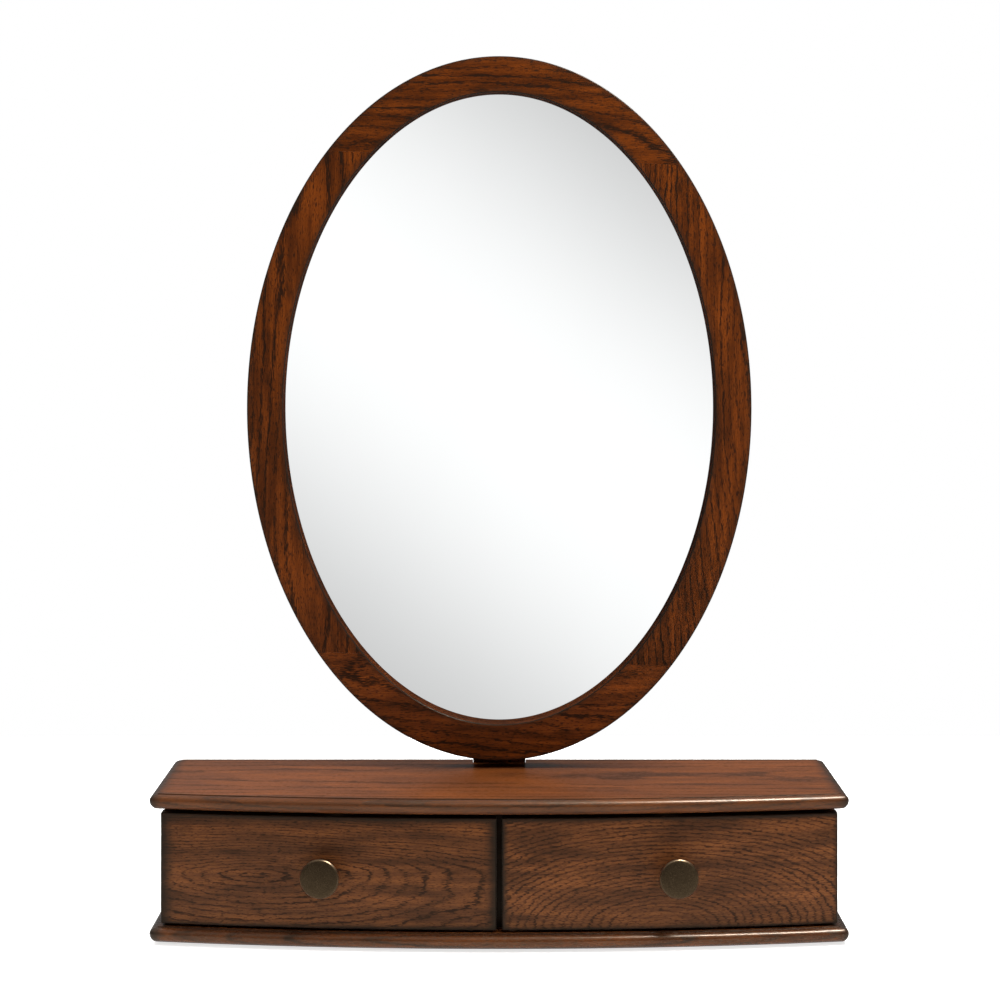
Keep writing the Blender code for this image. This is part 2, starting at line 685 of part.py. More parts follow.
# ---------------------------------------------------------------- build
def main():
    top, bottom = make_boards()
    left, right, divider, panel = make_uprights()
    make_kickers()
    make_case_screws(bottom, left, right, divider)
    make_pads()
    post = make_post(panel)
    pivot_hole = make_pivot(post)
    for side, sign in (("left", -1), ("right", 1)):
        make_drawer(side, sign)
    ring = make_ring()
    backboard = make_glass_and_back()
    make_bracket(backboard, pivot_hole)
    make_clips(ring)


clear_scene()
PARTS = make_collection("dressing_table_mirror")
CUTTERS = make_collection("cutters")
main()
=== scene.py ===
"""Dressing table mirror: finished surfaces, finishes and a plain studio.

An oval mirror in a stained oak ring tilts on a rear post, over a low bow-fronted case
with two drawers. Metres, +Z up, the front faces -Y. Each finished piece stands where
the solid model's node of the same name stands.
"""

import json
import math
from dataclasses import dataclass
from functools import partialmethod

import bpy
import numpy as np
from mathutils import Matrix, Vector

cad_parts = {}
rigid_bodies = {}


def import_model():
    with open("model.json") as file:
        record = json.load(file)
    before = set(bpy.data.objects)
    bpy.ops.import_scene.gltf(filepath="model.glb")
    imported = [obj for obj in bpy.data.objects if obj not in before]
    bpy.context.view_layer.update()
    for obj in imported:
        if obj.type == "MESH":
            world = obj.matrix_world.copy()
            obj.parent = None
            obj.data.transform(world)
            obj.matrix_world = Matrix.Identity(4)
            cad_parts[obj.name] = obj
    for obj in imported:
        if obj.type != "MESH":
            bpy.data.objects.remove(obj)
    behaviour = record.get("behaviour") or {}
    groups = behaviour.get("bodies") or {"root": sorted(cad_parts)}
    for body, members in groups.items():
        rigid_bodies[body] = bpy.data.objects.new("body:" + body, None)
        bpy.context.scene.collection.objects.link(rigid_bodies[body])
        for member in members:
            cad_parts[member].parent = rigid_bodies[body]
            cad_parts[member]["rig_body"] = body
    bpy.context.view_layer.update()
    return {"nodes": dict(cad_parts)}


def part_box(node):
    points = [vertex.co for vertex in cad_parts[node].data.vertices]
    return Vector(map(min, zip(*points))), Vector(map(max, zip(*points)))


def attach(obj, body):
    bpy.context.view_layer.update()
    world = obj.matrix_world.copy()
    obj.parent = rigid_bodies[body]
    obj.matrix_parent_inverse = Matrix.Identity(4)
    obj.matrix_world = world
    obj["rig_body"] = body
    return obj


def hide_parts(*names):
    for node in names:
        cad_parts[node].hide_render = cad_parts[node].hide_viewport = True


bl_info = {
    "name": "Dressing Table Mirror",
    "version": (1, 0, 0),
    "blender": (4, 5, 0),
    "location": "View3D > Sidebar > Dressing Table",
    "description": "Builds a dressing table mirror with two bowed drawers",
    "category": "Add Mesh",
}

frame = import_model()


# ------------------------ places read from the frame
def span(node):
    """Lowest and highest corner of a node as arrays."""
    low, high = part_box(node)
    return np.array(low), np.array(high)


TOP_LOW, TOP_HIGH = span("top_board")
BOTTOM_LOW, BOTTOM_HIGH = span("bottom_board")
HALF_WIDTH = TOP_HIGH[0]
NOSE_Y = TOP_LOW[1]
BACK_Y = TOP_HIGH[1]
BOW_RADIUS = 1.6                                   # plan curve of the boards' nose
BOW_Y = NOSE_Y + BOW_RADIUS                        # centre of that curve
FRONT_LOW, FRONT_HIGH = span("right_drawer_front")
FRONT_RADIUS = BOW_Y - FRONT_LOW[1]
FRONT_T = 0.014
INNER_RADIUS = FRONT_RADIUS - FRONT_T
KNOB_X = 0.138
RING_RIGHT = span("ring_right")
OVAL_A = RING_RIGHT[1][0]
OVAL_TOP = span("ring_top")[1][2]
OVAL_FOOT = span("ring_bottom")[0][2]
OVAL_Z = (OVAL_TOP + OVAL_FOOT) / 2
OVAL_B = (OVAL_TOP - OVAL_FOOT) / 2
RING_FACE_Y = RING_RIGHT[0][1]
RING_BACK_Y = RING_RIGHT[1][1]
RING_W = 0.030
RING_LIP = 0.014                                   # ring's face to the glass
RING_REBATE = 0.008
JOINT_HEIGHT = 0.2092                              # ring joints above and below its centre
JOINT_TILT = math.radians(2.3)
JOINT_GAP = 0.00002
BAND = 0.0003                                      # flat margin that keeps a cap's shading flat
TINY = 0.0001                                      # smallest corner radius
GAP = 0.0003                                       # clearance between pieces
DRAWER_SIDES = (("left", -1), ("right", 1))
WARM = (1.0, 0.72, 0.48)                           # tint that the oiled finish gives its gloss
BLACK, WHITE = (0.0, 0.0, 0.0), (1.0, 1.0, 1.0)
QUARTER = math.pi / 2


# ------------------------ settings a user would change
def length(name, description, default):
    return bpy.props.FloatProperty(name=name, description=description, default=default,
                                   min=0.0, subtype="DISTANCE", unit="LENGTH", precision=5)


def colour(name, description, default):
    return bpy.props.FloatVectorProperty(name=name, description=description, default=default,
                                         size=3, min=0.0, max=1.0, subtype="COLOR")


def strength(name, description, default, unit="NONE"):
    return bpy.props.FloatProperty(name=name, description=description, default=default, unit=unit)


class DressingSizes(bpy.types.PropertyGroup):
    """Rounds and small sizes of the finished pieces."""

    nose_top: length("Nose top", "Height of the upper round of the boards' nose", 0.0044)
    nose_low: length("Nose low", "Height of the lower round of the boards' nose", 0.0070)
    nose_under: length("Nose under", "How far the lower round runs in under a board", 0.0070)
    quirk: length("Quirk", "Step between a board's flat top and its nose", 0.0007)
    quirk_inset: length("Quirk inset", "Distance of the step from the nose", 0.0064)
    board_corner: length("Board corner", "Plan radius of the boards' front corners", 0.005)
    front_arris: length("Drawer arris", "Round on the edges of a drawer front", 0.0010)
    ring_arris: length("Ring arris", "Round on the edges of the mirror ring", 0.0011)
    case_arris: length("Case arris", "Round on the edges of the case's uprights", 0.0006)
    clamp_flute: length("Clamp flute", "Depth of the flutes of the clamp knob", 0.0006)


class DressingColours(bpy.types.PropertyGroup):
    """Colours of the finishes."""

    board_light: colour("Board light", "Stained boards, palest wood", (0.235, 0.064, 0.013))
    board_dark: colour("Board dark", "Stained boards, darkest wood", (0.110, 0.031, 0.008))
    front_light: colour("Front light", "Stained drawer fronts, palest wood", (0.204, 0.064, 0.017))
    front_dark: colour("Front dark", "Stained drawer fronts, darkest wood", (0.062, 0.022, 0.009))
    ring_light: colour("Ring light", "Stained ring, palest wood", (0.185, 0.041, 0.005))
    ring_dark: colour("Ring dark", "Stained ring, darkest wood", (0.060, 0.014, 0.003))
    pore: colour("Pore", "Stain that gathers in the open pores", (0.014, 0.006, 0.003))
    # Dark glaze along the edges; the boards also use it for painted shade in the quirk and under them.
    glaze_and_shade: colour("Burnish", "Rubbed dark glaze along the edges", (0.016, 0.011, 0.008))
    drawer_light: colour("Drawer light", "Bare wood of the drawer boxes, palest", (0.560, 0.390, 0.230))
    drawer_dark: colour("Drawer dark", "Bare wood of the drawer boxes, darkest", (0.380, 0.235, 0.120))
    fibreboard: colour("Fibreboard", "Pressed hardboard", (0.105, 0.058, 0.032))
    bronze: colour("Bronze", "Antique bronze of the knobs", (0.190, 0.130, 0.072))
    # Lighter bronze round the knobs' rim: rubbing wear, partly a painted highlight.
    rim_wear_and_highlight: colour("Rubbed bronze", "Bronze where hands have worn it", (0.420, 0.300, 0.190))
    zinc: colour("Zinc", "Zinc plated steel", (0.620, 0.600, 0.560))
    black_steel: colour("Black steel", "Black coated steel", (0.022, 0.022, 0.024))
    felt: colour("Felt", "Felt pads", (0.050, 0.038, 0.030))
    mirror: colour("Mirror", "Silvered glass", (0.900, 0.910, 0.910))


class DressingStage(bpy.types.PropertyGroup):
    """Camera and light."""

    camera_y: strength("Camera depth", "Where the camera stands", -2.0646, "LENGTH")
    camera_z: length("Camera height", "How high the camera stands", 0.5078)
    lens: strength("Lens", "Focal length on a 36 mm sensor", 91.3, "CAMERA")
    key_power: strength("Key light", "Power of the small softbox", 30.0, "POWER")
    overhead_power: strength("Overhead light", "Power of the large softbox", 13.4, "POWER")
    left_power: strength("Left light", "Power of the left softbox", 20.0, "POWER")
    floor_glow: strength("Floor glow", "Light that the white floor gives off", 0.70)
    room_light: strength("Room light", "Strength of the pale room", 1.0)


def settings():
    return bpy.context.scene.dressing_sizes


def colours():
    return bpy.context.scene.dressing_colours


# ------------------------ shader maths
MIX_FACTOR, MIX_A, MIX_B, MIX_RESULT = 0, 6, 7, 2


class Flow:
    """A socket's value in a material; arithmetic on it adds Math nodes."""

    def __init__(self, tree, socket):
        self.tree = tree
        self.socket = socket

    def maths(self, operation, *values):
        return self.tree.node("ShaderNodeMath", {"operation": operation}, dict(enumerate((self, *values))))

    def __rsub__(self, other):
        return self.tree.node("ShaderNodeMath", {"operation": "SUBTRACT"}, {0: other, 1: self})

    __add__ = __radd__ = partialmethod(maths, "ADD")
    __mul__ = __rmul__ = partialmethod(maths, "MULTIPLY")
    __sub__ = partialmethod(maths, "SUBTRACT")
    __truediv__ = partialmethod(maths, "DIVIDE")
    __pow__ = partialmethod(maths, "POWER")
    __abs__ = partialmethod(maths, "ABSOLUTE")

    def rise(self, low, high):
        """0 below low, 1 above high, a smooth step between."""
        return self.tree.node("ShaderNodeMapRange", {"interpolation_type": "SMOOTHSTEP"},
                              {"Value": self, "From Min": low, "From Max": high})


class Tree:
    """The nodes of one material or of the world."""

    def __init__(self, owner):
        owner.use_nodes = True
        self.owner = owner
        self.nodes = owner.node_tree.nodes
        self.links = owner.node_tree.links

    def node(self, kind, choices=None, values=None, output=0):
        """Add a node, make its choices, then fill its sockets with values or links."""
        node = self.nodes.new(kind)
        for name, choice in (choices or {}).items():
            setattr(node, name, choice)
        for key, value in (values or {}).items():
            self.fill(node.inputs[key], value)
        return Flow(self, node.outputs[output])

    def fill(self, socket, value):
        if isinstance(value, Flow):
            self.links.new(value.socket, socket)
        else:
            socket.default_value = value

    def place(self):
        """Object coordinates, split into x, y and z."""
        coordinates = self.node("ShaderNodeTexCoord", output="Object")
        return self.split(coordinates)

    def split(self, vector):
        parts = self.node("ShaderNodeSeparateXYZ", {}, {0: vector}).socket.node.outputs
        return [Flow(self, part) for part in parts]

    def vector(self, x, y, z):
        return self.node("ShaderNodeCombineXYZ", {}, {0: x, 1: y, 2: z})

    def noise(self, x, y, z, detail=2.0, roughness=0.5):
        """Soft noise, 0 to 1 and about 0.5, one cell to each unit of x, y and z."""
        return self.node("ShaderNodeTexNoise", {}, {"Vector": self.vector(x, y, z), "Scale": 1.0,
                                                    "Detail": detail, "Roughness": roughness})

    def speckle(self, scale, detail=2.0, roughness=0.5):
        """Noise that is alike in every direction, with scale cells to a metre."""
        return self.noise(*(place * scale for place in self.place()), detail, roughness)

    def mix(self, factor, first, second):
        """Blend of two colours."""
        values = {MIX_FACTOR: factor, MIX_A: rgba(first), MIX_B: rgba(second)}
        return self.node("ShaderNodeMix", {"data_type": "RGBA"}, values, MIX_RESULT)

    def bump(self, height, distance, share=1.0):
        return self.node("ShaderNodeBump", {}, {"Height": height, "Distance": distance, "Strength": share})


def rgba(value):
    return value if isinstance(value, Flow) else (*tuple(value)[:3], 1.0)


def scaled(base, share):
    """A colour made darker or paler."""
    return [c * share for c in base]


def new_material(name):
    """The tree of a new material, with one Principled shader."""
    return Tree(bpy.data.materials.new(name))


def shade(tree, **values):
    """Fill the Principled shader's sockets, with underscores for spaces; gives the material."""
    shader = tree.nodes["Principled BSDF"]
    for name, value in values.items():
        if name in ("Base_Color", "Emission_Color", "Specular_Tint"):
            value = rgba(value)
        tree.fill(shader.inputs[name.replace("_", " ")], value)
    return tree.owner


# ------------------------ finishes
@dataclass
class Oak:
    """How one board of stained oak was cut and finished.

    grain names the axis along the grain, the one across it on the face, and the
    depth. The growth rings are shells about a heart: an ellipsoid that is stretched
    along the grain and centred at heart, so they show on a face as long cathedrals.
    """

    grain: str
    heart: tuple
    stretch: float
    ring: float                                    # width of a growth ring
    light: tuple
    dark: tuple
    seed: float
    bold: float = 1.0                              # strength of the pores
    drift: float = 0.006                           # slow wandering of the rings
    gloss: float = 0.3
    coat: float = 0.08
    upper: float = 1.0                             # crowding of the rings above the heart
    band: float = 0.22                             # share of a ring with open pores
    jag: float = 0.0018                            # short steps in the rings
    mottle: float = 0.5
    rough: float = 0.34
    patches: float = 0.5                           # how far the rings fade in patches
    calm: float = 0.0                              # reach of plainer wood at the heart


def oak_material(name, cut, glaze_and_shade):
    """Stained open-pored oak.

    The ring number is the distance from the heart, in the stretched space and with
    drift, ripple and short steps along the grain added, over the ring's width. Each
    ring starts with a narrow band of open pores: short dashes along the grain that
    dark stain fills. Every ring has its own weight, and fades in patches along its
    length. The edge function given, called with (tree, x, y, z), gives the dark glaze
    along the edges; on the boards it also gives painted shade in the quirk and under
    the board, and a darker nose.
    """
    tree = new_material(name)
    places = dict(zip("XYZ", tree.place()))
    if cut.grain == "BOW":
        bowed = (places["X"] ** 2 + (places["Y"] - BOW_Y) ** 2) ** 0.5 - FRONT_RADIUS
        along, across, depth = places["X"], places["Z"], bowed
    else:
        along, across, depth = (places[letter] for letter in cut.grain)
    seed = cut.seed
    drift = tree.noise(along * 7 + seed, across * 22, depth * 22 + seed, 2.0)
    ripple = tree.noise(along * 45, across * 130 + seed, depth * 130, 2.0)
    step = tree.noise(along * 120 + seed, across * 900, depth * 900, 1.0)
    above = (across - cut.heart[1]).rise(-0.01, 0.02) * (cut.upper - 1.0) + 1.0
    u = (along - cut.heart[0]) / cut.stretch
    v = (across - cut.heart[1]) * above
    w = depth - cut.heart[2]
    reach = (u * u + v * v + w * w) ** 0.5
    wobble = (drift - 0.5) * cut.drift + (ripple - 0.5) * 0.0030 + (step - 0.5) * cut.jag
    rings = (reach + wobble) / cut.ring
    part = rings.maths("FRACT")
    number = rings.maths("FLOOR")
    weight = tree.node("ShaderNodeTexWhiteNoise", {"noise_dimensions": "1D"}, {"W": number + seed})
    fade = tree.noise(along * 22, across * 60 + seed, depth * 60, 2.0).rise(0.36, 0.62)
    early = (1.0 - part.rise(cut.band * 0.5, cut.band * 1.6)) * part.rise(0.0, cut.band * 0.4)
    early = early * (weight * 0.65 + 0.35) * (fade * cut.patches + 1.0 - cut.patches)
    if cut.calm:
        early = early * (reach.rise(cut.calm * 0.4, cut.calm) * 0.75 + 0.25)
    dash = tree.noise(along * 240, across * 1250 + seed, depth * 1250, 1.0)
    fine = tree.noise(along * 320 + seed, across * 2400, depth * 2400, 1.0)
    streak = tree.noise(along * 9, across * 210 + seed, depth * 210, 3.0)
    cloud = tree.noise(along * 26 + seed, across * 90, depth * 90, 3.0)
    glow = tree.noise(along * 14, across * 60 + seed * 2, depth * 60, 2.0)
    fibre = tree.noise(along * 70, across * 1300 + seed, depth * 1300, 2.0)
    open_pore = (dash + early * 0.36).rise(0.58, 0.68)
    small_pore = (fine + early * 0.12).rise(0.54, 0.68)
    tone = streak * 0.40 + fibre * 0.30 + glow * 0.45 - early * 0.15 - 0.08
    wood = tree.mix(tone.rise(0.34, 0.72), cut.dark, cut.light)
    wood = tree.mix(cloud.rise(0.58, 0.80) * cut.mottle, wood, colours().pore)
    wood = tree.mix(early * 0.60 * cut.bold, wood, colours().pore)
    wood = tree.mix(small_pore * 0.34, wood, colours().pore)
    wood = tree.mix(open_pore * 0.80 * cut.bold, wood, colours().pore)
    # On the boards this mask also carries painted shade in the quirk and under the board.
    glaze = glaze_and_shade(tree, places["X"], places["Y"], places["Z"]) * (cloud * 0.5 + 0.75)
    glaze = glaze.maths("MINIMUM", 1.0)
    wood = tree.mix(glaze, wood, colours().glaze_and_shade)
    height = 1.0 - open_pore * 0.7 - small_pore * 0.3 + fibre * 0.15
    return shade(tree, Base_Color=wood, Roughness=cut.rough + open_pore * 0.15 + cloud * 0.04,
                 Specular_IOR_Level=cut.gloss, Specular_Tint=WARM, Coat_Weight=cut.coat,
                 Coat_Roughness=0.18, Normal=tree.bump(height, 0.00010, 0.4))


def box_burnish(low, high, widths, axes):
    """Dark glaze near the edges of a box face: widths are low and high, for each axis."""

    def glaze(tree, x, y, z):
        places = dict(zip("XYZ", (x, y, z)))
        wander = tree.speckle(60, 3.0) * 0.8 + 0.6
        clear = None
        for axis, (near_low, near_high) in zip(axes, widths):
            place = places[axis]
            index = "XYZ".index(axis)
            for gap, width in ((place - low[index], near_low), (high[index] - place, near_high)):
                if width:
                    away = (gap / width / wander).rise(0.05, 1.25)
                    clear = away if clear is None else clear * away
        return 1.0 - clear

    return glaze


def ring_burnish(tree, x, y, z):
    """Thin black arris and a faint wider glaze at both edges of the ring's face."""
    across = tree.split(tree.node("ShaderNodeUVMap", {"uv_map": "strip"}))[1]
    edge = RING_W / 2 - abs(across)
    wander = tree.speckle(90, 2.0) * 0.8 + 0.6
    thin = 1.0 - (edge / wander).rise(0.0003, 0.0017)
    wide = (1.0 - (edge / wander).rise(0.001, 0.006)) * 0.35
    wall = (y - RING_FACE_Y).rise(0.0012, 0.0030)
    return thin.maths("MAXIMUM", wide) * (1.0 - wall * 0.75)


def bare_wood_material(name, grain, seed):
    """Bare, fine-grained wood of the drawer boxes: pale streaks with small pores."""
    tree = new_material(name)
    places = dict(zip("XYZ", tree.place()))
    along, across, depth = (places[letter] for letter in grain)
    wave = tree.noise(along * 6 + seed, across * 60, depth * 60, 3.0)
    fibre = tree.noise(along * 50, across * 1500 + seed, depth * 1500, 2.0)
    pore = tree.noise(along * 170, across * 2400, depth * 2400 + seed, 1.0).rise(0.66, 0.74)
    tone = (wave * 0.7 + fibre * 0.3).rise(0.3, 0.7)
    wood = tree.mix(tone, colours().drawer_dark, colours().drawer_light)
    wood = tree.mix(pore * 0.35, wood, colours().drawer_dark)
    return shade(tree, Base_Color=wood, Roughness=0.62 + fibre * 0.15, Specular_IOR_Level=0.35,
                 Normal=tree.bump(fibre - pore, 0.00008, 0.5))


def plywood_material(name):
    """Thin plywood: level face veneer, and layers that show on its edge."""
    tree = new_material(name)
    x, y, z = tree.place()
    flame = tree.noise(x * 9, y * 55, z * 3, 4.0)
    fibre = tree.noise(x * 40, y * 1300, z * 40, 2.0)
    low = span("right_drawer_bottom")[0][2]
    layer = ((z - low) * 1000.0).maths("PINGPONG", 1.0)
    wood = tree.mix((flame * 0.8 + fibre * 0.2).rise(0.3, 0.7), (0.46, 0.31, 0.17), (0.60, 0.44, 0.27))
    wood = tree.mix(layer.rise(0.8, 1.0) * 0.25, wood, colours().drawer_dark)
    return shade(tree, Base_Color=wood, Roughness=0.58 + fibre * 0.12, Specular_IOR_Level=0.35,
                 Normal=tree.bump(fibre, 0.00006, 0.5))


def fibreboard_material(name):
    """Pressed hardboard: brown, with fine flecks and a woven-screen bump."""
    tree = new_material(name)
    x, y, z = tree.place()
    fleck = tree.speckle(900, 3.0, 0.7)
    cloud = tree.speckle(22, 3.0)
    weave = (x * 2600).maths("SINE") * (z * 2600).maths("SINE")
    base = colours().fibreboard
    board = tree.mix(fleck.rise(0.35, 0.70), scaled(base, 0.62), scaled(base, 1.45))
    board = tree.mix(cloud.rise(0.3, 0.7) * 0.35, board, scaled(base, 0.75))
    return shade(tree, Base_Color=board, Roughness=0.66 + fleck * 0.2, Specular_IOR_Level=0.3,
                 Normal=tree.bump(fleck * 0.5 + weave * 0.3, 0.00015, 0.6))


def bronze_material(name, foot, normal, radius):
    """Antique bronze: dark patina with fine speckle, and round the rim a lighter bronze: rubbing wear and a
    painted highlight.
    """
    tree = new_material(name)
    x, y, z = tree.place()
    fleck = tree.speckle(1500, 2.0, 0.6)
    cloud = tree.speckle(160, 3.0)
    dx, dy, dz = x - foot[0], y - foot[1], z - foot[2]
    height = dx * normal[0] + dy * normal[1]
    reach = (dx * dx + dy * dy + dz * dz - height * height).maths("MAXIMUM", 0.0) ** 0.5
    # Lighter, smoother bronze round the rim: rubbing wear, partly a painted highlight.
    rim = (reach + (fleck - 0.5) * 0.0012).rise(radius * 0.925, radius * 0.985)
    base = colours().bronze
    metal = tree.mix(fleck.rise(0.38, 0.70), scaled(base, 0.72), scaled(base, 1.3))
    metal = tree.mix(cloud.rise(0.40, 0.75) * 0.5, metal, scaled(base, 0.75))
    metal = tree.mix(rim * 0.65, metal, colours().rim_wear_and_highlight)
    return shade(tree, Base_Color=metal, Metallic=1.0, Roughness=0.40 + fleck * 0.16 - rim * 0.16,
                 Normal=tree.bump(fleck, 0.00004, 0.5))


def zinc_material():
    """Zinc plated steel: faint crystal clouds and fine scratches."""
    tree = new_material("zinc_steel")
    x, y, z = tree.place()
    cloud = tree.speckle(500, 3.0)
    scratch = tree.noise(x * 3000, y * 400, z * 260, 2.0)
    base = colours().zinc
    metal = tree.mix(cloud.rise(0.3, 0.7), scaled(base, 0.78), base)
    return shade(tree, Base_Color=metal, Metallic=1.0, Roughness=0.26 + scratch * 0.2,
                 Normal=tree.bump(scratch, 0.00002, 0.5))


def black_steel_material():
    """Black powder-coated steel: fine orange peel, worn a little lighter in places."""
    tree = new_material("black_steel")
    peel = tree.speckle(1800, 2.0)
    wear = tree.speckle(260, 4.0, 0.7).rise(0.60, 0.76)
    base = colours().black_steel
    coat = tree.mix(wear * 0.5, base, scaled(base, 3.5))
    return shade(tree, Base_Color=coat, Metallic=0.0, Roughness=0.42 + peel * 0.15,
                 Specular_IOR_Level=0.5, Normal=tree.bump(peel, 0.00006, 0.5))


def felt_material():
    """Brown felt: tangled fibres with a soft sheen."""
    tree = new_material("felt")
    tangle = tree.speckle(2200, 4.0, 0.75)
    base = colours().felt
    cloth = tree.mix(tangle.rise(0.35, 0.65), scaled(base, 0.6), scaled(base, 1.7))
    return shade(tree, Base_Color=cloth, Roughness=0.95, Specular_IOR_Level=0.1, Sheen_Weight=0.3,
                 Normal=tree.bump(tangle, 0.0003, 0.8))


def mirror_material():
    """Silvered glass: nearly clean, with the faintest wiping marks."""
    tree = new_material("mirror")
    x, y, z = tree.place()
    wipe = tree.noise(x * 9, y * 9, z * 5, 3.0)
    silver = colours().mirror
    tint = tree.mix(wipe.rise(0.3, 0.8), silver, scaled(silver, 0.985))
    return shade(tree, Base_Color=tint, Metallic=1.0, Roughness=0.0)


# ------------------------ surfaces
def arc(centre, radius, start, end, steps):
    """Points of a circular arc, both ends included."""
    angles = np.linspace(start, end, steps + 1)
    return np.column_stack((centre[0] + radius * np.cos(angles), centre[1] + radius * np.sin(angles)))


def bow_y(x, radius):
    """Depth of a curve concentric with the boards' nose."""
    return BOW_Y - np.sqrt(radius * radius - np.square(x))


def rolled(low, high, radius, steps=5):
    """Rows of (inset, height): a wall between two heights with a quarter circle at each end."""
    angle = np.linspace(0.0, QUARTER, steps + 1)
    foot = np.column_stack((radius * (1 - np.sin(angle)), low + radius * (1 - np.cos(angle))))
    head = np.column_stack((radius * (1 - np.cos(angle)), high - radius * (1 - np.sin(angle))))
    return np.vstack(([radius + BAND, low], foot, head, [radius + BAND, high]))


def bowed_side(ends, radius, corner, front, corner_steps, steps):
    """A side on the bow, from its left corner to its right one: three arcs.

    front is 1 for a side that a piece lies behind, and -1 for one that it lies before.
    """
    centre_r = radius - front * corner
    centres = [ends[0] + corner, ends[1] - corner]
    leans = [math.asin(x / centre_r) - QUARTER for x in centres]
    turns = [lean if front > 0 else lean + math.pi for lean in leans]
    left = arc((centres[0], bow_y(centres[0], centre_r)), corner, -front * math.pi, turns[0], corner_steps)
    right = arc((centres[1], bow_y(centres[1], centre_r)), corner, turns[1], 0.0, corner_steps)
    return left, arc((0.0, BOW_Y), radius, *leans, steps), right


def bowed_outline(ends, front, back, corners, inset, back_inset, notch=0.0, steps=48):
    """Plan outline with its front on the bow and straight ends, every side moved in.

    back is the depth of a straight back, or a negative radius for a back on the bow.
    A corner keeps its centre and loses the inset from its radius. notch is the half
    width and front depth of a slot in the middle of the back.
    """
    ends = (ends[0] + inset, ends[1] - inset)
    corner, rear = (max(radius - inset, TINY) for radius in corners)
    left, nose, right = bowed_side(ends, front - inset, corner, 1, 6, steps)
    outline = [left[:-1], nose, right[1:]]
    if back < 0:
        back_left, middle, back_right = bowed_side(ends, back_inset - back, rear, -1, 4, steps)
        return np.vstack((*outline, back_right[::-1], middle[-2:0:-1], back_left[::-1]))
    edge = back - back_inset
    outline.append(arc((ends[1] - rear, edge - rear), rear, 0.0, QUARTER, 4))
    if notch:
        half, depth = notch[0] + back_inset, notch[1] - back_inset
        outline.append([(half, edge), (half, depth), (-half, depth), (-half, edge)])
    outline.append(arc((ends[0] + rear, edge - rear), rear, QUARTER, math.pi, 4))
    return np.vstack(outline)


def rectangle(low, high, corners, inset, steps=4):
    """Rectangle with a radius for each corner, moved in; a corner keeps its centre."""
    arcs = []
    for far_x, far_y, turn, corner in zip((0, 1, 1, 0), (0, 0, 1, 1), (2, 3, 0, 1), corners):
        radius = max(corner - inset, TINY)
        x = high[0] - inset - radius if far_x else low[0] + inset + radius
        y = high[1] - inset - radius if far_y else low[1] + inset + radius
        arcs.append(arc((x, y), radius, turn * QUARTER, (turn + 1) * QUARTER, steps))
    return np.vstack(arcs)


def loft(loops):
    """Points and faces of a closed body: loops of equal count joined, flat caps on both ends."""
    count = len(loops)
    size = len(loops[0])
    index = np.arange(count * size).reshape(count, size)
    ahead = np.roll(index, -1, axis=1)
    walls = np.stack((index[:-1], ahead[:-1], ahead[1:], index[1:]), axis=-1).reshape(-1, 4)
    faces = walls.tolist() + [index[0, ::-1].tolist(), index[-1].tolist()]
    return np.concatenate(loops), faces


def stack(outline, rows, axis=2):
    """Loft of an outline(inset) carried along an axis by rows of (inset, height)."""
    others = [i for i in range(3) if i != axis]
    loops = []
    for inset, height in rows:
        flat = outline(inset)
        loop = np.empty((len(flat), 3))
        loop[:, others] = flat
        loop[:, axis] = height
        loops.append(loop)
    return loft(loops)


def slab(low, high, axis, roll, corner=0.0):
    """A rectangular board with its edges rolled, thin along one axis."""
    others = [i for i in range(3) if i != axis]
    corners = [max(corner, roll + 2 * BAND)] * 4
    return stack(lambda inset: rectangle(low[others], high[others], corners, inset),
                 rolled(low[axis], high[axis], roll), axis)


def turned(profile, steps, origin, direction, shape=None):
    """Profile of (radius, height) turned about a direction; its ends lie on the axis.

    shape(radius, height, angle), if given, returns changed radii and heights.
    """
    direction = np.asarray(direction, float) / np.linalg.norm(direction)
    helper = np.array((0.0, 0.0, 1.0)) if abs(direction[2]) < 0.9 else np.array((1.0, 0.0, 0.0))
    side = np.cross(helper, direction)
    side /= np.linalg.norm(side)
    other = np.cross(direction, side)
    rows = np.asarray(profile, float)[1:-1]
    angle = np.linspace(0.0, 2 * math.pi, steps, endpoint=False)
    radius = np.repeat(rows[:, :1], steps, axis=1)
    height = np.repeat(rows[:, 1:], steps, axis=1)
    if shape:
        radius, height = shape(radius, height, angle[None, :])
    around = np.cos(angle)[None, :, None] * side + np.sin(angle)[None, :, None] * other
    wall = radius[..., None] * around + height[..., None] * direction
    poles = np.array([profile[0][1], profile[-1][1]])
    if shape:
        poles[0] = shape(np.zeros((1, 1)), np.full((1, 1), poles[0]), np.zeros((1, 1)))[1][0, 0]
    points = np.vstack((wall.reshape(-1, 3), poles[:, None] * direction)) + np.asarray(origin)
    index = np.arange(len(rows) * steps).reshape(len(rows), steps)
    ahead = np.roll(index, -1, axis=1)
    faces = np.stack((index[:-1], index[1:], ahead[1:], ahead[:-1]), axis=-1).reshape(-1, 4).tolist()
    first, last = index.size, index.size + 1
    faces += [[first, a, b] for a, b in zip(index[0].tolist(), ahead[0].tolist())]
    faces += [[last, b, a] for a, b in zip(index[-1].tolist(), ahead[-1].tolist())]
    return points, faces


def smooth_line(points, steps):
    """Catmull-Rom curve through the points, with steps to each span."""
    points = np.asarray(points, float)
    padded = np.vstack((2 * points[0] - points[1], points, 2 * points[-1] - points[-2]))
    t = np.linspace(0.0, 1.0, steps, endpoint=False)[:, None]
    spans = []
    for a, b, c, d in zip(padded[:-3], padded[1:-2], padded[2:-1], padded[3:]):
        spans.append(0.5 * (2 * b + (c - a) * t + (2 * a - 5 * b + 4 * c - d) * t ** 2
                            + (3 * b - a - 3 * c + d) * t ** 3))
    return np.vstack(spans + [points[-1:]])


def volume(points, faces):
    """Signed volume; it is negative where the faces point inwards."""
    total = 0.0
    for face in faces:
        ring = points[face]
        total += (np.cross(ring[1:-1], ring[2:]) @ ring[0]).sum()
    return total


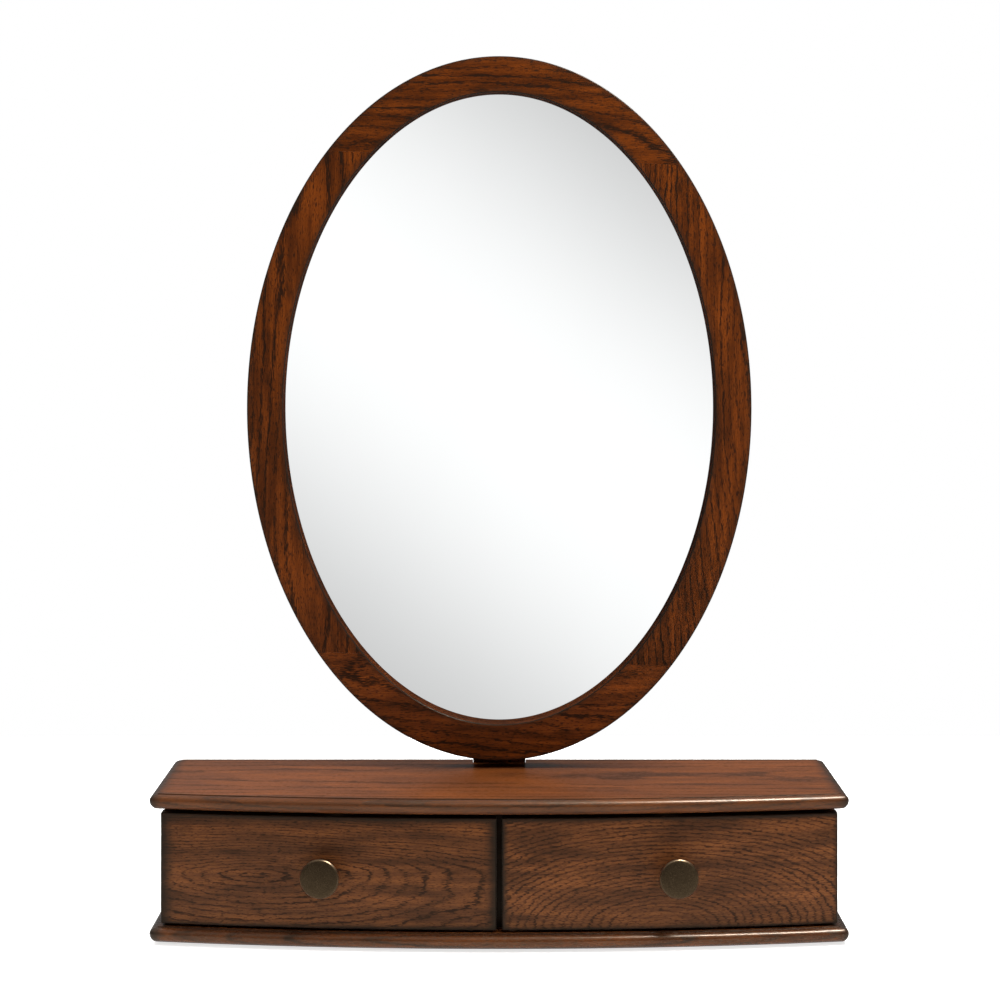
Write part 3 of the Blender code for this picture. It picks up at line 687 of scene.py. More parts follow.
def make_piece(name, bodies, sharp=35.0, strip=None):
    """One object from closed bodies of (points, faces), every face pointing out."""
    points, faces, shift = [], [], 0
    for some, theirs in bodies:
        if volume(some, theirs) < 0:
            theirs = [face[::-1] for face in theirs]
        faces += [[i + shift for i in face] for face in theirs]
        points.append(some)
        shift += len(some)
    mesh = bpy.data.meshes.new(name)
    mesh.from_pydata(np.concatenate(points), [], faces)
    mesh.shade_smooth()
    mesh.set_sharp_from_angle(angle=math.radians(sharp))
    if strip is not None:
        corner = np.empty(len(mesh.loops), np.int32)
        mesh.loops.foreach_get("vertex_index", corner)
        layer = mesh.uv_layers.new(name="strip")
        layer.data.foreach_set("uv", strip[corner].astype(np.float32).ravel())
    mesh.update()
    piece = bpy.data.objects.new(name, mesh)
    bpy.context.scene.collection.objects.link(piece)
    return piece


def settle(node, bodies, material, strip=None, sharp=35.0):
    """Make the finished piece of a node: its mesh, finish, slot and body."""
    piece = make_piece(node + "_finished", bodies, sharp, strip)
    piece.data.materials.append(material)
    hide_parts(node)
    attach(piece, frame["nodes"][node]["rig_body"])
    return piece


def settle_oak(node, bodies, cut, glaze_and_shade, strip=None):
    settle(node, bodies, oak_material(node, cut, glaze_and_shade), strip)


def settle_bare(node, body, grain, seed):
    settle(node, [body], bare_wood_material(node, grain, seed))


# ------------------------ pieces of the case
def board_rows(low):
    """Rows of (nose inset, back inset, height) from a board's underside to its top."""
    size = settings()
    thick = TOP_HIGH[2] - TOP_LOW[2]
    shoulder = thick - size.quirk
    step = size.quirk_inset
    back = 0.0005                                  # round on the back's edges
    rows = [(size.nose_under + BAND, back + BAND, 0.0)]
    angles = np.linspace(0.0, QUARTER, 9)
    for rise, run in zip(1 - np.cos(angles), 1 - np.sin(angles)):
        rows.append((size.nose_under * run, back * run, size.nose_low * rise))
    for rise, run in zip(1 - np.cos(angles), 1 - np.sin(angles)):
        rows.append((step * 0.97 * rise, 0.0, shoulder - size.nose_top * run))
    rows += [(step - 0.0001, 0.0, shoulder), (step, 0.0, shoulder + 0.00005)]
    rows += [(step + 0.00005, 0.0, thick - 0.0004), (step + 0.00015, 0.0001, thick - 0.00015)]
    rows += [(step + 0.0004, back, thick), (step + 0.0007, back + BAND, thick)]
    return [(inset, rear, low + height) for inset, rear, height in rows]


def board(low, notch):
    size = settings()
    loops = []
    for inset, rear, height in board_rows(low):
        plan = bowed_outline((-HALF_WIDTH, HALF_WIDTH), BOW_RADIUS, BACK_Y, (size.board_corner, 0.0015),
                             inset, rear, notch, 96)
        loops.append(np.column_stack((plan, np.full(len(plan), height))))
    return loft(loops)


def board_glaze_and_shade(low, high, underside_shade_share, end_width):
    """Painted shade in the quirk and under a board, a darker nose, and dark glaze on the ends and back
    edge.
    """
    ends = box_burnish(low, high, ((end_width, end_width), (0.0, 0.0070)), "XY")

    def glaze(tree, x, y, z):
        nose = BOW_RADIUS - (x ** 2 + (y - BOW_Y) ** 2) ** 0.5
        # Painted shade: a dark line along the quirk step, on the nose and on the ends.
        quirk = 1.0 - abs(nose - settings().quirk_inset).rise(0.0002, 0.0012)
        side = 1.0 - abs(HALF_WIDTH - abs(x) - settings().quirk_inset).rise(0.0002, 0.0012)
        line = quirk.maths("MAXIMUM", side) * (z - low[2]).rise(0.006, 0.010)
        # Painted shade under the board, on its lower round; the share is larger for the bottom board.
        under = 1.0 - (z - low[2]).rise(0.0004, 0.0030)
        # The nose in front of the quirk is made darker.
        moulding = (1.0 - (nose - settings().quirk_inset).rise(-0.0006, 0.0)) * 0.48
        edges = (line * 0.80).maths("MAXIMUM", ends(tree, x, y, z) * 0.95)
        return edges.maths("MAXIMUM", under * underside_shade_share).maths("MAXIMUM", moulding)

    return glaze


class DRESSING_OT_boards(bpy.types.Operator):
    """Make the top and bottom boards with their moulded noses"""

    bl_idname = "dressing.boards"
    bl_label = "Boards"

    def execute(self, context):
        tint = colours()
        post_low, post_high = span("mirror_post")
        notch = (post_high[0] + GAP, post_low[1] - GAP)
        top = Oak("XYZ", (0.62, 0.02, -0.02), 22.0, 0.0052, tint.board_light, tint.board_dark,
                  bold=0.55, gloss=0.50, coat=0.24, seed=3.0, rough=0.27)
        bottom = Oak("XYZ", (-0.50, 0.05, -0.03), 18.0, 0.0060, tint.board_light, tint.board_dark,
                     bold=0.7, gloss=0.70, coat=0.40, seed=8.0, rough=0.25)
        # The sixth column, under, is the share of painted shade under each board.
        for node, cut, low, high, gap, under, end_width in (
                ("top_board", top, TOP_LOW, TOP_HIGH, notch, 0.2, 0.0130),
                ("bottom_board", bottom, BOTTOM_LOW, BOTTOM_HIGH, 0.0, 0.95, 0.0180)):
            glaze_and_shade_mask = board_glaze_and_shade(low, high, under, end_width)
            settle_oak(node, [board(low[2], gap)], cut, glaze_and_shade_mask)
        return {"FINISHED"}


def upright(node):
    """A board on edge whose front end follows the bow."""
    low, high = span(node)
    roll = settings().case_arris
    nearest = 0.0 if low[0] < 0.0 < high[0] else min(abs(low[0]), abs(high[0]))
    radius = math.hypot(BOW_Y - low[1], nearest)
    corners = [roll + 2 * BAND] * 2

    def outline(inset):
        return bowed_outline((low[0], high[0]), radius, high[1], corners, inset, inset, 0.0, 4)

    return stack(outline, rolled(low[2], high[2], roll))


class DRESSING_OT_uprights(bpy.types.Operator):
    """Make the case sides, the divider and the back panel"""

    bl_idname = "dressing.uprights"
    bl_label = "Uprights and back panel"

    def execute(self, context):
        tint = colours()
        for node, seed in (("left_side", 21.0), ("right_side", 24.0), ("centre_divider", 27.0)):
            low, high = span(node)
            cut = Oak("YZX", (0.10, 0.03, 0.0), 9.0, 0.0046, tint.front_light, tint.front_dark, seed=seed)
            glaze_and_shade_mask = box_burnish(low, high, ((0.003, 0.003), (0.003, 0.003)), "YZ")
            settle_oak(node, [upright(node)], cut, glaze_and_shade_mask)
        low, high = span("back_panel")
        fibre = fibreboard_material("back_panel_fibre")
        settle("back_panel", [slab(low, high, 1, 0.0004)], fibre)
        return {"FINISHED"}


class DRESSING_OT_kickers(bpy.types.Operator):
    """Make the strips that keep an open drawer level"""

    bl_idname = "dressing.kickers"
    bl_label = "Kickers"

    def execute(self, context):
        for node in ("left_kicker", "right_kicker"):
            low, high = span(node)
            settle_bare(node, slab(low, high, 2, 0.0008), "YXZ", low[0] * 40)
        return {"FINISHED"}


class DRESSING_OT_pads(bpy.types.Operator):
    """Make the felt pads"""

    bl_idname = "dressing.pads"
    bl_label = "Felt pads"

    def execute(self, context):
        felt = felt_material()
        for side in ("left", "right"):
            for end in ("front", "rear"):
                node = "felt_pad_%s_%s" % (side, end)
                low, high = span(node)
                middle = (low + high) / 2
                radius = (high[0] - low[0]) / 2
                thick = high[2] - low[2]
                rows = [(radius - inset, height) for inset, height in rolled(0.0, thick, 0.0004)]
                profile = [(0.0, 0.0)] + rows + [(0.0, thick)]
                pad = turned(profile, 48, (middle[0], middle[1], low[2]), (0, 0, 1))
                settle(node, [pad], felt)
        return {"FINISHED"}


# ------------------------ drawers
PLY_IN_FRONT = 0.0037                              # how far a drawer's bottom enters its front


def drawer_front(sign):
    """A slab between two bows, with its face's edges rolled."""
    roll = settings().front_arris
    ends = (FRONT_LOW[0], FRONT_HIGH[0])
    corners = [roll + 2 * BAND] * 2

    def outline(inset):
        return bowed_outline(ends, FRONT_RADIUS, -INNER_RADIUS, corners, inset, inset)

    points, faces = stack(outline, rolled(FRONT_LOW[2], FRONT_HIGH[2], roll, 6))
    points[:, 0] *= sign
    return points, faces


class DRESSING_OT_drawer_fronts(bpy.types.Operator):
    """Make the bowed drawer fronts"""

    bl_idname = "dressing.drawer_fronts"
    bl_label = "Drawer fronts"

    def execute(self, context):
        tint = colours()
        # The palest colour of each front is scaled to paint light: the left front darker, the right front
        # paler, as more light falls on the right.
        left = Oak("BOW", (-0.196, 0.0565, 0.0), 4.0, 0.0046, scaled(tint.front_light, 0.90),
                   tint.front_dark, drift=0.018, seed=5.0, upper=2.1, jag=0.0036, mottle=0.8)
        right = Oak("BOW", (0.131, 0.0161, 0.0), 2.3, 0.0031, scaled(tint.front_light, 1.06),
                    tint.front_dark, bold=0.9, drift=0.007, seed=11.0, band=0.28, jag=0.0030,
                    patches=0.35, calm=0.026)
        cuts = {"left": (left, ((0.0110, 0.0090), (0.0036, 0.0060))),
                "right": (right, ((0.0048, 0.0035), (0.0030, 0.0042)))}
        for side, sign in DRAWER_SIDES:
            node = side + "_drawer_front"
            cut, widths = cuts[side]
            low, high = span(node)
            glaze_and_shade_mask = box_burnish(low, high, widths, "XZ")
            settle_oak(node, [drawer_front(sign)], cut, glaze_and_shade_mask)
        return {"FINISHED"}


def drawer_side(low, high, groove_z, groove_side):
    """A drawer side: its section with the groove for the bottom carried from the bow to the rear."""
    top = 0.0012
    deep = 0.004
    half = (high[0] - low[0]) / 2
    middle = (high[0] + low[0]) / 2
    round_right = arc((half - top, high[2] - top), top, 0.0, QUARTER, 4)
    round_left = arc((top - half, high[2] - top), top, QUARTER, math.pi, 4)
    foot = np.array([(-half, low[2]), (half, low[2])])
    slot = np.array([(half, groove_z[0]), (half - deep, groove_z[0]),
                     (half - deep, groove_z[1]), (half, groove_z[1])])
    section = np.vstack((foot, slot, round_right, round_left))
    section[:, 0] *= groove_side
    x = section[:, 0] + middle
    front = bow_y(x, INNER_RADIUS - GAP)
    loops = [np.column_stack((x, front + (high[1] - front) * share, section[:, 1])) for share in (0.0, 1.0)]
    return loft(loops)


class DRESSING_OT_drawer_boxes(bpy.types.Operator):
    """Make the sides, backs and bottoms of the drawers"""

    bl_idname = "dressing.drawer_boxes"
    bl_label = "Drawer boxes"

    def execute(self, context):
        ply = plywood_material("drawer_ply")
        for side, sign in DRAWER_SIDES:
            ply_low, ply_high = span(side + "_drawer_bottom")
            groove_z = (ply_low[2] - 0.0002, ply_high[2] + 0.0002)
            for part, turn in (("outer", -sign), ("inner", sign)):
                node = "%s_drawer_%s_side" % (side, part)
                low, high = span(node)
                settle_bare(node, drawer_side(low, high, groove_z, turn), "YZX", sign * 7.0)
            node = side + "_drawer_back"
            low, high = span(node)
            settle_bare(node, slab(low, high, 1, 0.0008), "XZY", sign * 13.0)

            def outline(inset):
                ends, radius = (ply_low[0], ply_high[0]), INNER_RADIUS + PLY_IN_FRONT
                return bowed_outline(ends, radius, ply_high[1], (0.001, 0.001), inset, inset)

            sheet = stack(outline, rolled(ply_low[2], ply_high[2], 0.0002, 2))
            settle(side + "_drawer_bottom", [sheet], ply)
        return {"FINISHED"}


def knob_place(sign):
    """Foot of a knob on the drawer front, and the bow's normal there."""
    x = KNOB_X
    foot = np.array((sign * x, bow_y(x, FRONT_RADIUS), (FRONT_LOW[2] + FRONT_HIGH[2]) / 2))
    normal = np.array((foot[0], foot[1] - BOW_Y, 0.0))
    return foot, normal / np.linalg.norm(normal)


class DRESSING_OT_knobs(bpy.types.Operator):
    """Turn the bronze knobs"""

    bl_idname = "dressing.knobs"
    bl_label = "Knobs"

    def execute(self, context):
        radius = 0.01535
        proud = 0.0248
        face = [(0.0, proud), (radius * 0.35, proud - 0.00012), (radius * 0.70, proud - 0.00050),
                (radius * 0.88, proud - 0.00100), (radius * 0.955, proud - 0.00150),
                (radius * 0.992, proud - 0.00230), (radius, proud - 0.00300),
                (radius * 0.985, proud - 0.00385), (radius * 0.90, proud - 0.00520),
                (radius * 0.70, proud - 0.00760), (0.0078, 0.0148), (0.0062, 0.0115), (0.0060, 0.0070),
                (0.0070, 0.0036), (0.0090, 0.0018), (0.0096, 0.0009), (0.0095, 0.0003)]
        profile = np.vstack((smooth_line(face, 5), [(0.0, 0.0003)]))
        for side, sign in DRAWER_SIDES:
            foot, normal = knob_place(sign)
            metal = bronze_material(side + "_bronze", foot, normal, radius)
            settle(side + "_knob", [turned(profile, 96, foot, normal)], metal, sharp=50.0)
        return {"FINISHED"}


# ------------------------ post, pivot and fasteners
class DRESSING_OT_post(bpy.types.Operator):
    """Make the post behind the mirror"""

    bl_idname = "dressing.post"
    bl_label = "Mirror post"

    def execute(self, context):
        tint = colours()
        low, high = span("mirror_post")
        cut = Oak("ZXY", (0.9, 0.01, 0.0), 26.0, 0.0040, tint.front_light, tint.front_dark, seed=31.0)
        glaze_and_shade_mask = box_burnish(low, high, ((0.002, 0.002), (0.0, 0.003)), "XZ")
        foot, head = 0.0016, 0.0060                # its foot is square and its head is round

        def side(inset):
            return rectangle(low[1:], high[1:], (foot, foot, head, head), inset, 6)

        shape = stack(side, rolled(low[0], high[0], 0.0010), 0)
        settle_oak("mirror_post", [shape], cut, glaze_and_shade_mask)
        return {"FINISHED"}


class DRESSING_OT_pivot(bpy.types.Operator):
    """Turn the coach bolt and its clamp knob"""

    bl_idname = "dressing.pivot"
    bl_label = "Pivot bolt and clamp knob"

    def execute(self, context):
        steel = black_steel_material()
        low, high = span("pivot_bolt")
        middle = (low + high) / 2
        head_h, head_r, shank_r = 0.0032, 0.0065, 0.0030
        long = high[0] - low[0]
        angle = np.linspace(0.0, QUARTER, 9)
        dome = [(head_r * math.sin(a), -head_h * (1 - math.cos(a)) * 0.8) for a in angle]
        profile = dome + [(head_r, -head_h), (shank_r, -head_h), (shank_r, 0.0004 - long),
                          (shank_r - 0.0004, -long), (0.0, -long)]
        bolt = turned(profile, 48, (low[0], middle[1], middle[2]), (-1, 0, 0))
        settle("pivot_bolt", [bolt], steel)
        low, high = span("clamp_knob")
        rim = (high[2] - low[2]) / 2
        tall = high[0] - low[0]
        flute = settings().clamp_flute

        def fluted(radius, height, angle):
            grip = np.clip((radius - 0.0052) / 0.0015, 0.0, 1.0) * (height > 0.002)
            return radius - grip * flute * (0.5 - 0.5 * np.cos(12 * angle)) ** 2, height

        outline = [(0.0, tall), (0.0030, tall), (0.0050, tall - 0.0002), (0.0064, tall - 0.0010),
                   (rim, tall - 0.0030), (rim, 0.0052), (0.0066, 0.0034), (0.0056, 0.0020), (0.0054, 0.0)]
        profile = np.vstack((smooth_line(outline, 4), [(0.0, 0.0)]))
        knob = turned(profile, 144, (low[0], middle[1], middle[2]), (1, 0, 0), fluted)
        settle("clamp_knob", [knob], steel, sharp=50.0)
        return {"FINISHED"}


def cross_recess(arm, width, depth):
    """Cuts a cross into a head: full depth where a point is near both an arm's line and the middle."""

    def cut(radius, height, angle):
        x = np.abs(radius * np.cos(angle))
        y = np.abs(radius * np.sin(angle))
        beside = np.clip((width / 2 - np.minimum(x, y)) / (width * 0.22) + 0.5, 0.0, 1.0)
        within = np.clip((arm - np.maximum(x, y)) / (arm * 0.35), 0.0, 1.0)
        return radius, height - depth * beside * within * (height > 0)

    return cut


def screw(origin, direction, head_r, head_h, shank_r, long, flat):
    """A cross-head screw: its head's top is a dome, or flat for a countersunk head."""
    share = np.linspace(0.0, 1.0, 15)
    proud = 0.00012 if flat else head_h
    if flat:
        crown = [(head_r * s, proud) for s in share]
        under = [(head_r, -0.0004), (shank_r, -head_h)]
    else:
        crown = [(head_r * math.sin(a), proud * (0.55 + 0.45 * math.cos(a))) for a in share * QUARTER]
        under = [(head_r, 0.0), (shank_r, 0.0)]
    tip = [(shank_r, -long * 0.85), (shank_r * 0.45, -long), (0.0, -long)]
    cut = cross_recess(head_r * 0.52, head_r * 0.26, head_h * 0.55)
    return turned(crown + under + tip, 64, origin, direction, cut)


def screw_from_node(node, axis, sense, head_h, flat):
    """Screw sizes read from its node: the head's radius across, its length along the axis."""
    low, high = span(node)
    middle = (low + high) / 2
    head_r = (high[2 if axis != 2 else 0] - low[2 if axis != 2 else 0]) / 2
    top = high[axis] if sense > 0 else low[axis]
    seat = 0.0 if flat else head_h
    origin = middle.copy()
    origin[axis] = top - sense * seat
    direction = np.zeros(3)
    direction[axis] = sense
    long = high[axis] - low[axis] - seat
    return screw(origin, direction, head_r, head_h, head_r * 0.47, long, flat)


class DRESSING_OT_screws(bpy.types.Operator):
    """Make every screw"""

    bl_idname = "dressing.screws"
    bl_label = "Screws"

    def execute(self, context):
        zinc = zinc_material()
        for side in ("left", "middle", "right"):
            for end in ("front", "rear"):
                node = "case_screw_%s_%s" % (side, end)
                settle(node, [screw_from_node(node, 2, -1, 0.0024, True)], zinc)
        for node in ("post_screw_lower", "post_screw_upper"):
            settle(node, [screw_from_node(node, 1, 1, 0.0026, True)], zinc)
        for number in range(1, 5):
            node = "bracket_screw_%d" % number
            settle(node, [screw_from_node(node, 1, 1, 0.0018, False)], zinc)
            node = "clip_screw_%d" % number
            settle(node, [screw_from_node(node, 1, 1, 0.0016, False)], zinc)
        for side, sign in DRAWER_SIDES:
            foot, normal = knob_place(sign)
            inside = foot - normal * (FRONT_T + GAP)
            body = screw(inside, -normal, 0.0040, 0.0024, 0.0020, FRONT_T + 0.012, False)
            settle(side + "_knob_screw", [body], zinc)
        return {"FINISHED"}


# ------------------------ mirror
def oval(angle, offset):
    """The ring's outer oval moved out along its normals: x and height above its centre."""
    across, up = OVAL_B * np.cos(angle), OVAL_A * np.sin(angle)
    size = np.hypot(across, up)
    return OVAL_A * np.cos(angle) + offset * across / size, OVAL_B * np.sin(angle) + offset * up / size


def joint_angle(offset, level, start, end):
    """Angle at which an offset oval meets a joint's tilted line, found by halving."""
    low = np.full(len(offset), start)
    high = np.full(len(offset), end)
    for _ in range(40):
        middle = (low + high) / 2
        x, z = oval(middle, offset)
        over = x * math.sin(JOINT_TILT) + z * math.cos(JOINT_TILT) > level
        high = np.where(over, middle, high)
        low = np.where(over, low, middle)
    return (low + high) / 2


def ring_section():
    """Section of the ring: across from its middle line, and back from its face."""
    half = RING_W / 2
    arris = settings().ring_arris
    thick = RING_BACK_Y - RING_FACE_Y
    outer = arc((half - arris, arris), arris, -QUARTER, 0.0, 6)
    inner = arc((arris - half, arris), arris, math.pi, 1.5 * math.pi, 6)
    ease = 0.0004
    back = [(half, thick - ease), (half - ease, thick), (RING_REBATE - half + ease, thick),
            (RING_REBATE - half, thick - ease), (RING_REBATE - half, RING_LIP), (-half, RING_LIP)]
    face = [(half - arris - BAND, 0.0)]
    return np.vstack((face, outer, back, inner, [(arris + BAND - half, 0.0)]))


def ring_length(ends, steps):
    """The section carried round the oval between two joints, whose planes trim it.

    ends gives for both ends the joint's level and the two angles it lies between.
    Returns the closed body and, for each point, its length along and place across.
    """
    section = ring_section()
    offset = section[:, 0] - RING_W / 2
    first, last = (joint_angle(offset, *end) for end in ends)
    last = np.where(last < first, last + 2 * math.pi, last)
    share = np.linspace(0.0, 1.0, steps + 1)[:, None]
    angle = first + (last - first) * share
    x, z = oval(angle, offset)
    y = np.broadcast_to(RING_FACE_Y + section[:, 1], x.shape)
    loops = np.stack((x, y, z + OVAL_Z), axis=-1)
    along = np.broadcast_to(share * OVAL_B * 1.5, x.shape)
    across = np.broadcast_to(section[:, 0], x.shape)
    return loft(list(loops)), np.stack((along, across), axis=-1).reshape(-1, 2)


class DRESSING_OT_ring(bpy.types.Operator):
    """Make the four lengths of the mirror ring"""

    bl_idname = "dressing.ring"
    bl_label = "Mirror ring"

    def execute(self, context):
        tint = colours()
        over, under = JOINT_HEIGHT + JOINT_GAP, JOINT_HEIGHT - JOINT_GAP
        right, left = (-QUARTER, QUARTER), (3 * QUARTER, QUARTER)
        # The last but one column scales the ring's colours to paint light: the top length darker, the
        # bottom length paler, for how the light falls on them.
        lengths = (
            ("top", over, right, over, left, "XZY", (-0.10, 0.62, 0.0), 5.0, 0.0056, 0.88, 41.0),
            ("bottom", -over, left, -over, right, "XZY", (0.08, 0.20, 0.0), 5.0, 0.0050, 1.28, 45.0),
            ("left", under, left, -under, left, "ZXY", (0.30, -0.16, 0.02), 9.0, 0.0060, 1.0, 49.0),
            ("right", -under, right, under, right, "ZXY", (0.52, 0.23, 0.02), 6.0, 0.0046, 1.0, 53.0),
        )
        for place, start, start_side, end, end_side, grain, heart, stretch, width, painted_light_share, seed in lengths:
            node = "ring_" + place
            body, strip = ring_length(((start, *start_side), (end, *end_side)), 96)
            cut = Oak(grain, heart, stretch, width, scaled(tint.ring_light, painted_light_share),
                      scaled(tint.ring_dark, painted_light_share), gloss=0.15, coat=0.04, seed=seed, drift=0.014,
                      band=0.26, jag=0.0036, mottle=0.8)
            settle_oak(node, [body], cut, ring_burnish, strip)
        return {"FINISHED"}


def oval_disc(node, roll):
    """A flat oval with its edge rolled on both faces."""
    low, high = span(node)
    edge = high[0] - OVAL_A
    angle = np.linspace(0.0, 2 * math.pi, 240, endpoint=False)

    def outline(inset):
        x, z = oval(angle, edge - inset)
        return np.column_stack((x, z + OVAL_Z))

    return stack(outline, rolled(low[1], high[1], roll, 3), 1)


class DRESSING_OT_glass(bpy.types.Operator):
    """Make the mirror glass and the board behind it"""

    bl_idname = "dressing.glass"
    bl_label = "Mirror glass and backboard"

    def execute(self, context):
        settle("mirror_glass", [oval_disc("mirror_glass", 0.0004)], mirror_material())
        fibre = fibreboard_material("backboard_fibre")
        settle("mirror_backboard", [oval_disc("mirror_backboard", 0.0004)], fibre)
        return {"FINISHED"}


class DRESSING_OT_bracket(bpy.types.Operator):
    """Make the steel bracket whose ears hold the post"""

    bl_idname = "dressing.bracket"
    bl_label = "Tilt bracket"

    def execute(self, context):
        low, high = span("tilt_bracket")
        sheet = 0.0014
        ear_r = 0.0085
        bolt_low, bolt_high = span("pivot_bolt")
        pivot = (bolt_low + bolt_high) / 2
        plate_high = np.array((high[0], low[1] + sheet, high[2]))
        bodies = [slab(low, plate_high, 1, 0.0003, 0.005)]
        inner = span("mirror_post")[1][0] + 0.0006
        for x in (-inner - sheet, inner):

            def ear(inset):
                reach = ear_r - inset
                tip = arc((pivot[1], pivot[2]), reach, -QUARTER, QUARTER, 16)
                root = low[1] + 0.0002
                return np.vstack(([(root, pivot[2] - reach)], tip, [(root, pivot[2] + reach)]))

            bodies.append(stack(ear, rolled(x, x + sheet, 0.0003, 3), 0))
        settle("tilt_bracket", bodies, bpy.data.materials["black_steel"])
        return {"FINISHED"}


class DRESSING_OT_clips(bpy.types.Operator):
    """Make the clips that hold the backboard"""

    bl_idname = "dressing.clips"
    bl_label = "Backboard clips"

    def execute(self, context):
        zinc = bpy.data.materials["zinc_steel"]
        for number, degrees in enumerate((38, 142, 218, 322), 1):
            node = "backboard_clip_%d" % number
            low, high = span(node)
            angle = np.array([math.radians(degrees)])
            inner_x, inner_z = oval(angle, RING_REBATE - RING_W)
            outer_x, outer_z = oval(angle, 0.0)
            normal = np.array((outer_x[0] - inner_x[0], outer_z[0] - inner_z[0]))
            normal /= np.linalg.norm(normal)
            half, thick, wide = 0.011, 0.001, 0.006
            corners = np.array(((-half, 0.0, -wide), (half, thick, wide)))
            points, faces = slab(*corners, 1, 0.0002, 0.003)
            x = inner_x[0] + points[:, 0] * normal[0] - points[:, 2] * normal[1]
            z = inner_z[0] + points[:, 0] * normal[1] + points[:, 2] * normal[0]
            bodies = [(np.column_stack((x, points[:, 1] + low[1], z + OVAL_Z)), faces)]
            settle(node, bodies, zinc)
        return {"FINISHED"}


# ------------------------ stage
def add_light(name, place, target, size, power):
    """A rectangular softbox that faces its target."""
    light = bpy.data.lights.new(name, "AREA")
    light.shape = "RECTANGLE"
    light.size, light.size_y = size
    light.energy = power
    light.color = (1.0, 0.99, 0.97)
    item = bpy.data.objects.new(name, light)
    bpy.context.scene.collection.objects.link(item)
    aim = np.subtract(target, place)
    item.location = place
    lean = math.atan2(math.hypot(aim[0], aim[1]), -aim[2])
    item.rotation_euler = (lean, 0.0, math.atan2(-aim[0], aim[1]))
    return item


def straight_ray(tree):
    """1 for a ray that comes to the camera directly or by the mirror alone, else 0."""
    direct, sharp, depth = (tree.node("ShaderNodeLightPath", output=name)
                            for name in ("Is Camera Ray", "Is Singular Ray", "Ray Depth"))
    return direct.maths("MAXIMUM", sharp * depth.maths("LESS_THAN", 1.5))


def light_room(strength):
    """White room: plain white to the eye and in the mirror, and dimmer as a light."""
    world = bpy.data.worlds.new("pale_room")
    bpy.context.scene.world = world
    tree = Tree(world)
    direction = tree.node("ShaderNodeTexCoord", output="Generated")
    x, y, z = tree.split(direction)
    behind = y.rise(-0.2, 0.6)
    leftward = (0.0 - x).rise(-0.05, 0.35)
    overhead = z.rise(0.30, 0.90)
    below = (0.0 - z).rise(-0.05, 0.35)
    level = behind * (leftward * 0.12 + 0.01) + overhead * 0.28 + below * 0.40 + 0.08
    tone = tree.mix(level, BLACK, WHITE)
    seen = straight_ray(tree)
    room = tree.nodes["Background"]
    tree.fill(room.inputs["Color"], tone)
    tree.fill(room.inputs["Strength"], strength)
    white = tree.node("ShaderNodeBackground", {}, {"Color": rgba(WHITE)})
    both = tree.node("ShaderNodeMixShader", {}, {0: seen, 1: Flow(tree, room.outputs[0]), 2: white})
    tree.fill(tree.nodes["World Output"].inputs["Surface"], both)


def make_sheet(name, corners, material):
    mesh = bpy.data.meshes.new(name)
    mesh.from_pydata(corners, [], [[0, 1, 2, 3]])
    sheet = bpy.data.objects.new(name, mesh)
    bpy.context.scene.collection.objects.link(sheet)
    sheet.data.materials.append(material)
    return sheet


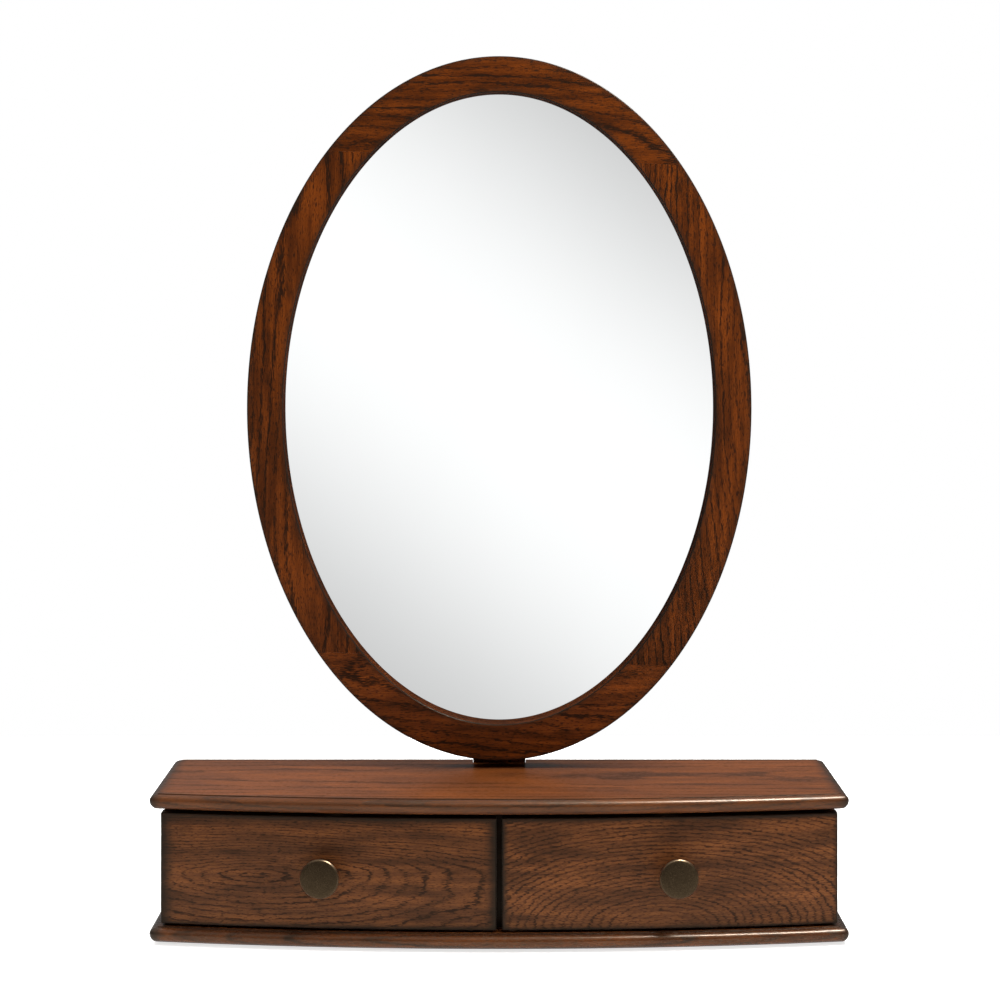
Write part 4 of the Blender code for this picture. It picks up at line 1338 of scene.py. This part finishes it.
class DRESSING_OT_stage(bpy.types.Operator):
    """Set the floor, the lights and the camera"""

    bl_idname = "dressing.stage"
    bl_label = "Stage"

    def execute(self, context):
        stage = context.scene.dressing_stage
        tree = new_material("floor")
        grain = tree.speckle(30, 3.0)
        white = tree.mix(grain, (0.90, 0.90, 0.895), (0.91, 0.91, 0.905))
        floor = shade(tree, Base_Color=white, Roughness=0.9, Specular_IOR_Level=0.1,
                      Emission_Color=WHITE, Emission_Strength=stage.floor_glow)
        wide, near, far = 1.4, -2.75, 0.9
        corners = [(-wide, near, 0.0), (wide, near, 0.0), (wide, far, 0.0), (-wide, far, 0.0)]
        make_sheet("floor", corners, floor).visible_glossy = False

        tree = new_material("card")
        x, y, z = tree.place()
        slant = (z - 0.33) * 0.80 + x * 0.60
        glow = 1.0 - abs(slant).rise(0.07, 0.75) * 0.48
        tone = tree.mix(glow * straight_ray(tree), BLACK, WHITE)
        card = shade(tree, Base_Color=BLACK, Roughness=1.0, Specular_IOR_Level=0.0,
                     Emission_Color=tone, Emission_Strength=1.12)
        wide, depth, low, high = 0.9, -2.7, -0.6, 1.25
        corners = [(-wide, depth, low), (wide, depth, low), (wide, depth, high), (-wide, depth, high)]
        make_sheet("mirror_card", corners, card).visible_camera = False

        for name, place, target, size, power in (
                ("key_softbox", (0.565, -0.05, 1.5), (0.1, 0.0, 0.1), (0.57, 0.40), stage.key_power),
                ("overhead_softbox", (0.5, -0.8, 1.7), (0.1, 0.0, 0.2), (1.6, 1.2), stage.overhead_power),
                ("left_softbox", (-0.8, 0.5, 1.3), (-0.1, 0.0, 0.1), (1.0, 0.8), stage.left_power)):
            light = add_light(name, place, target, size, power)
            light.visible_glossy = name == "key_softbox"
        light_room(stage.room_light)
        context.scene.view_settings.view_transform = "Standard"

        camera = bpy.data.cameras.new("camera")
        camera.lens = stage.lens
        camera.sensor_width = 36.0
        camera.shift_x = 0.00075
        camera.shift_y = -0.197
        item = bpy.data.objects.new("camera", camera)
        item.location = (0.0, stage.camera_y, stage.camera_z)
        item.rotation_euler = (math.radians(90), 0.0, 0.0)
        context.scene.collection.objects.link(item)
        context.scene.camera = item
        return {"FINISHED"}


# ------------------------ panel and run
OPERATORS = (
    DRESSING_OT_boards, DRESSING_OT_uprights, DRESSING_OT_kickers, DRESSING_OT_pads,
    DRESSING_OT_drawer_fronts, DRESSING_OT_drawer_boxes, DRESSING_OT_knobs, DRESSING_OT_post,
    DRESSING_OT_pivot, DRESSING_OT_screws, DRESSING_OT_ring, DRESSING_OT_glass,
    DRESSING_OT_bracket, DRESSING_OT_clips, DRESSING_OT_stage,
)


class DRESSING_PT_panel(bpy.types.Panel):
    """Lists the settings and the steps"""

    bl_label = "Dressing Table Mirror"
    bl_idname = "DRESSING_PT_panel"
    bl_space_type = "VIEW_3D"
    bl_region_type = "UI"
    bl_category = "Dressing Table"

    def draw(self, context):
        for operator in OPERATORS:
            self.layout.operator(operator.bl_idname)
        for name, group in GROUPS:
            column = self.layout.box().column()
            for setting in group.__annotations__:
                column.prop(getattr(context.scene, name), setting)


GROUPS = (("dressing_sizes", DressingSizes), ("dressing_colours", DressingColours),
          ("dressing_stage", DressingStage))


def register():
    for name, group in GROUPS:
        bpy.utils.register_class(group)
        setattr(bpy.types.Scene, name, bpy.props.PointerProperty(type=group))
    for item in (*OPERATORS, DRESSING_PT_panel):
        bpy.utils.register_class(item)


def unregister():
    for item in (DRESSING_PT_panel, *reversed(OPERATORS)):
        bpy.utils.unregister_class(item)
    for name, group in reversed(GROUPS):
        delattr(bpy.types.Scene, name)
        bpy.utils.unregister_class(group)


def main():
    register()
    for operator in OPERATORS:
        group, step = operator.bl_idname.split(".")
        getattr(getattr(bpy.ops, group), step)()


if __name__ == "__main__":
    main()
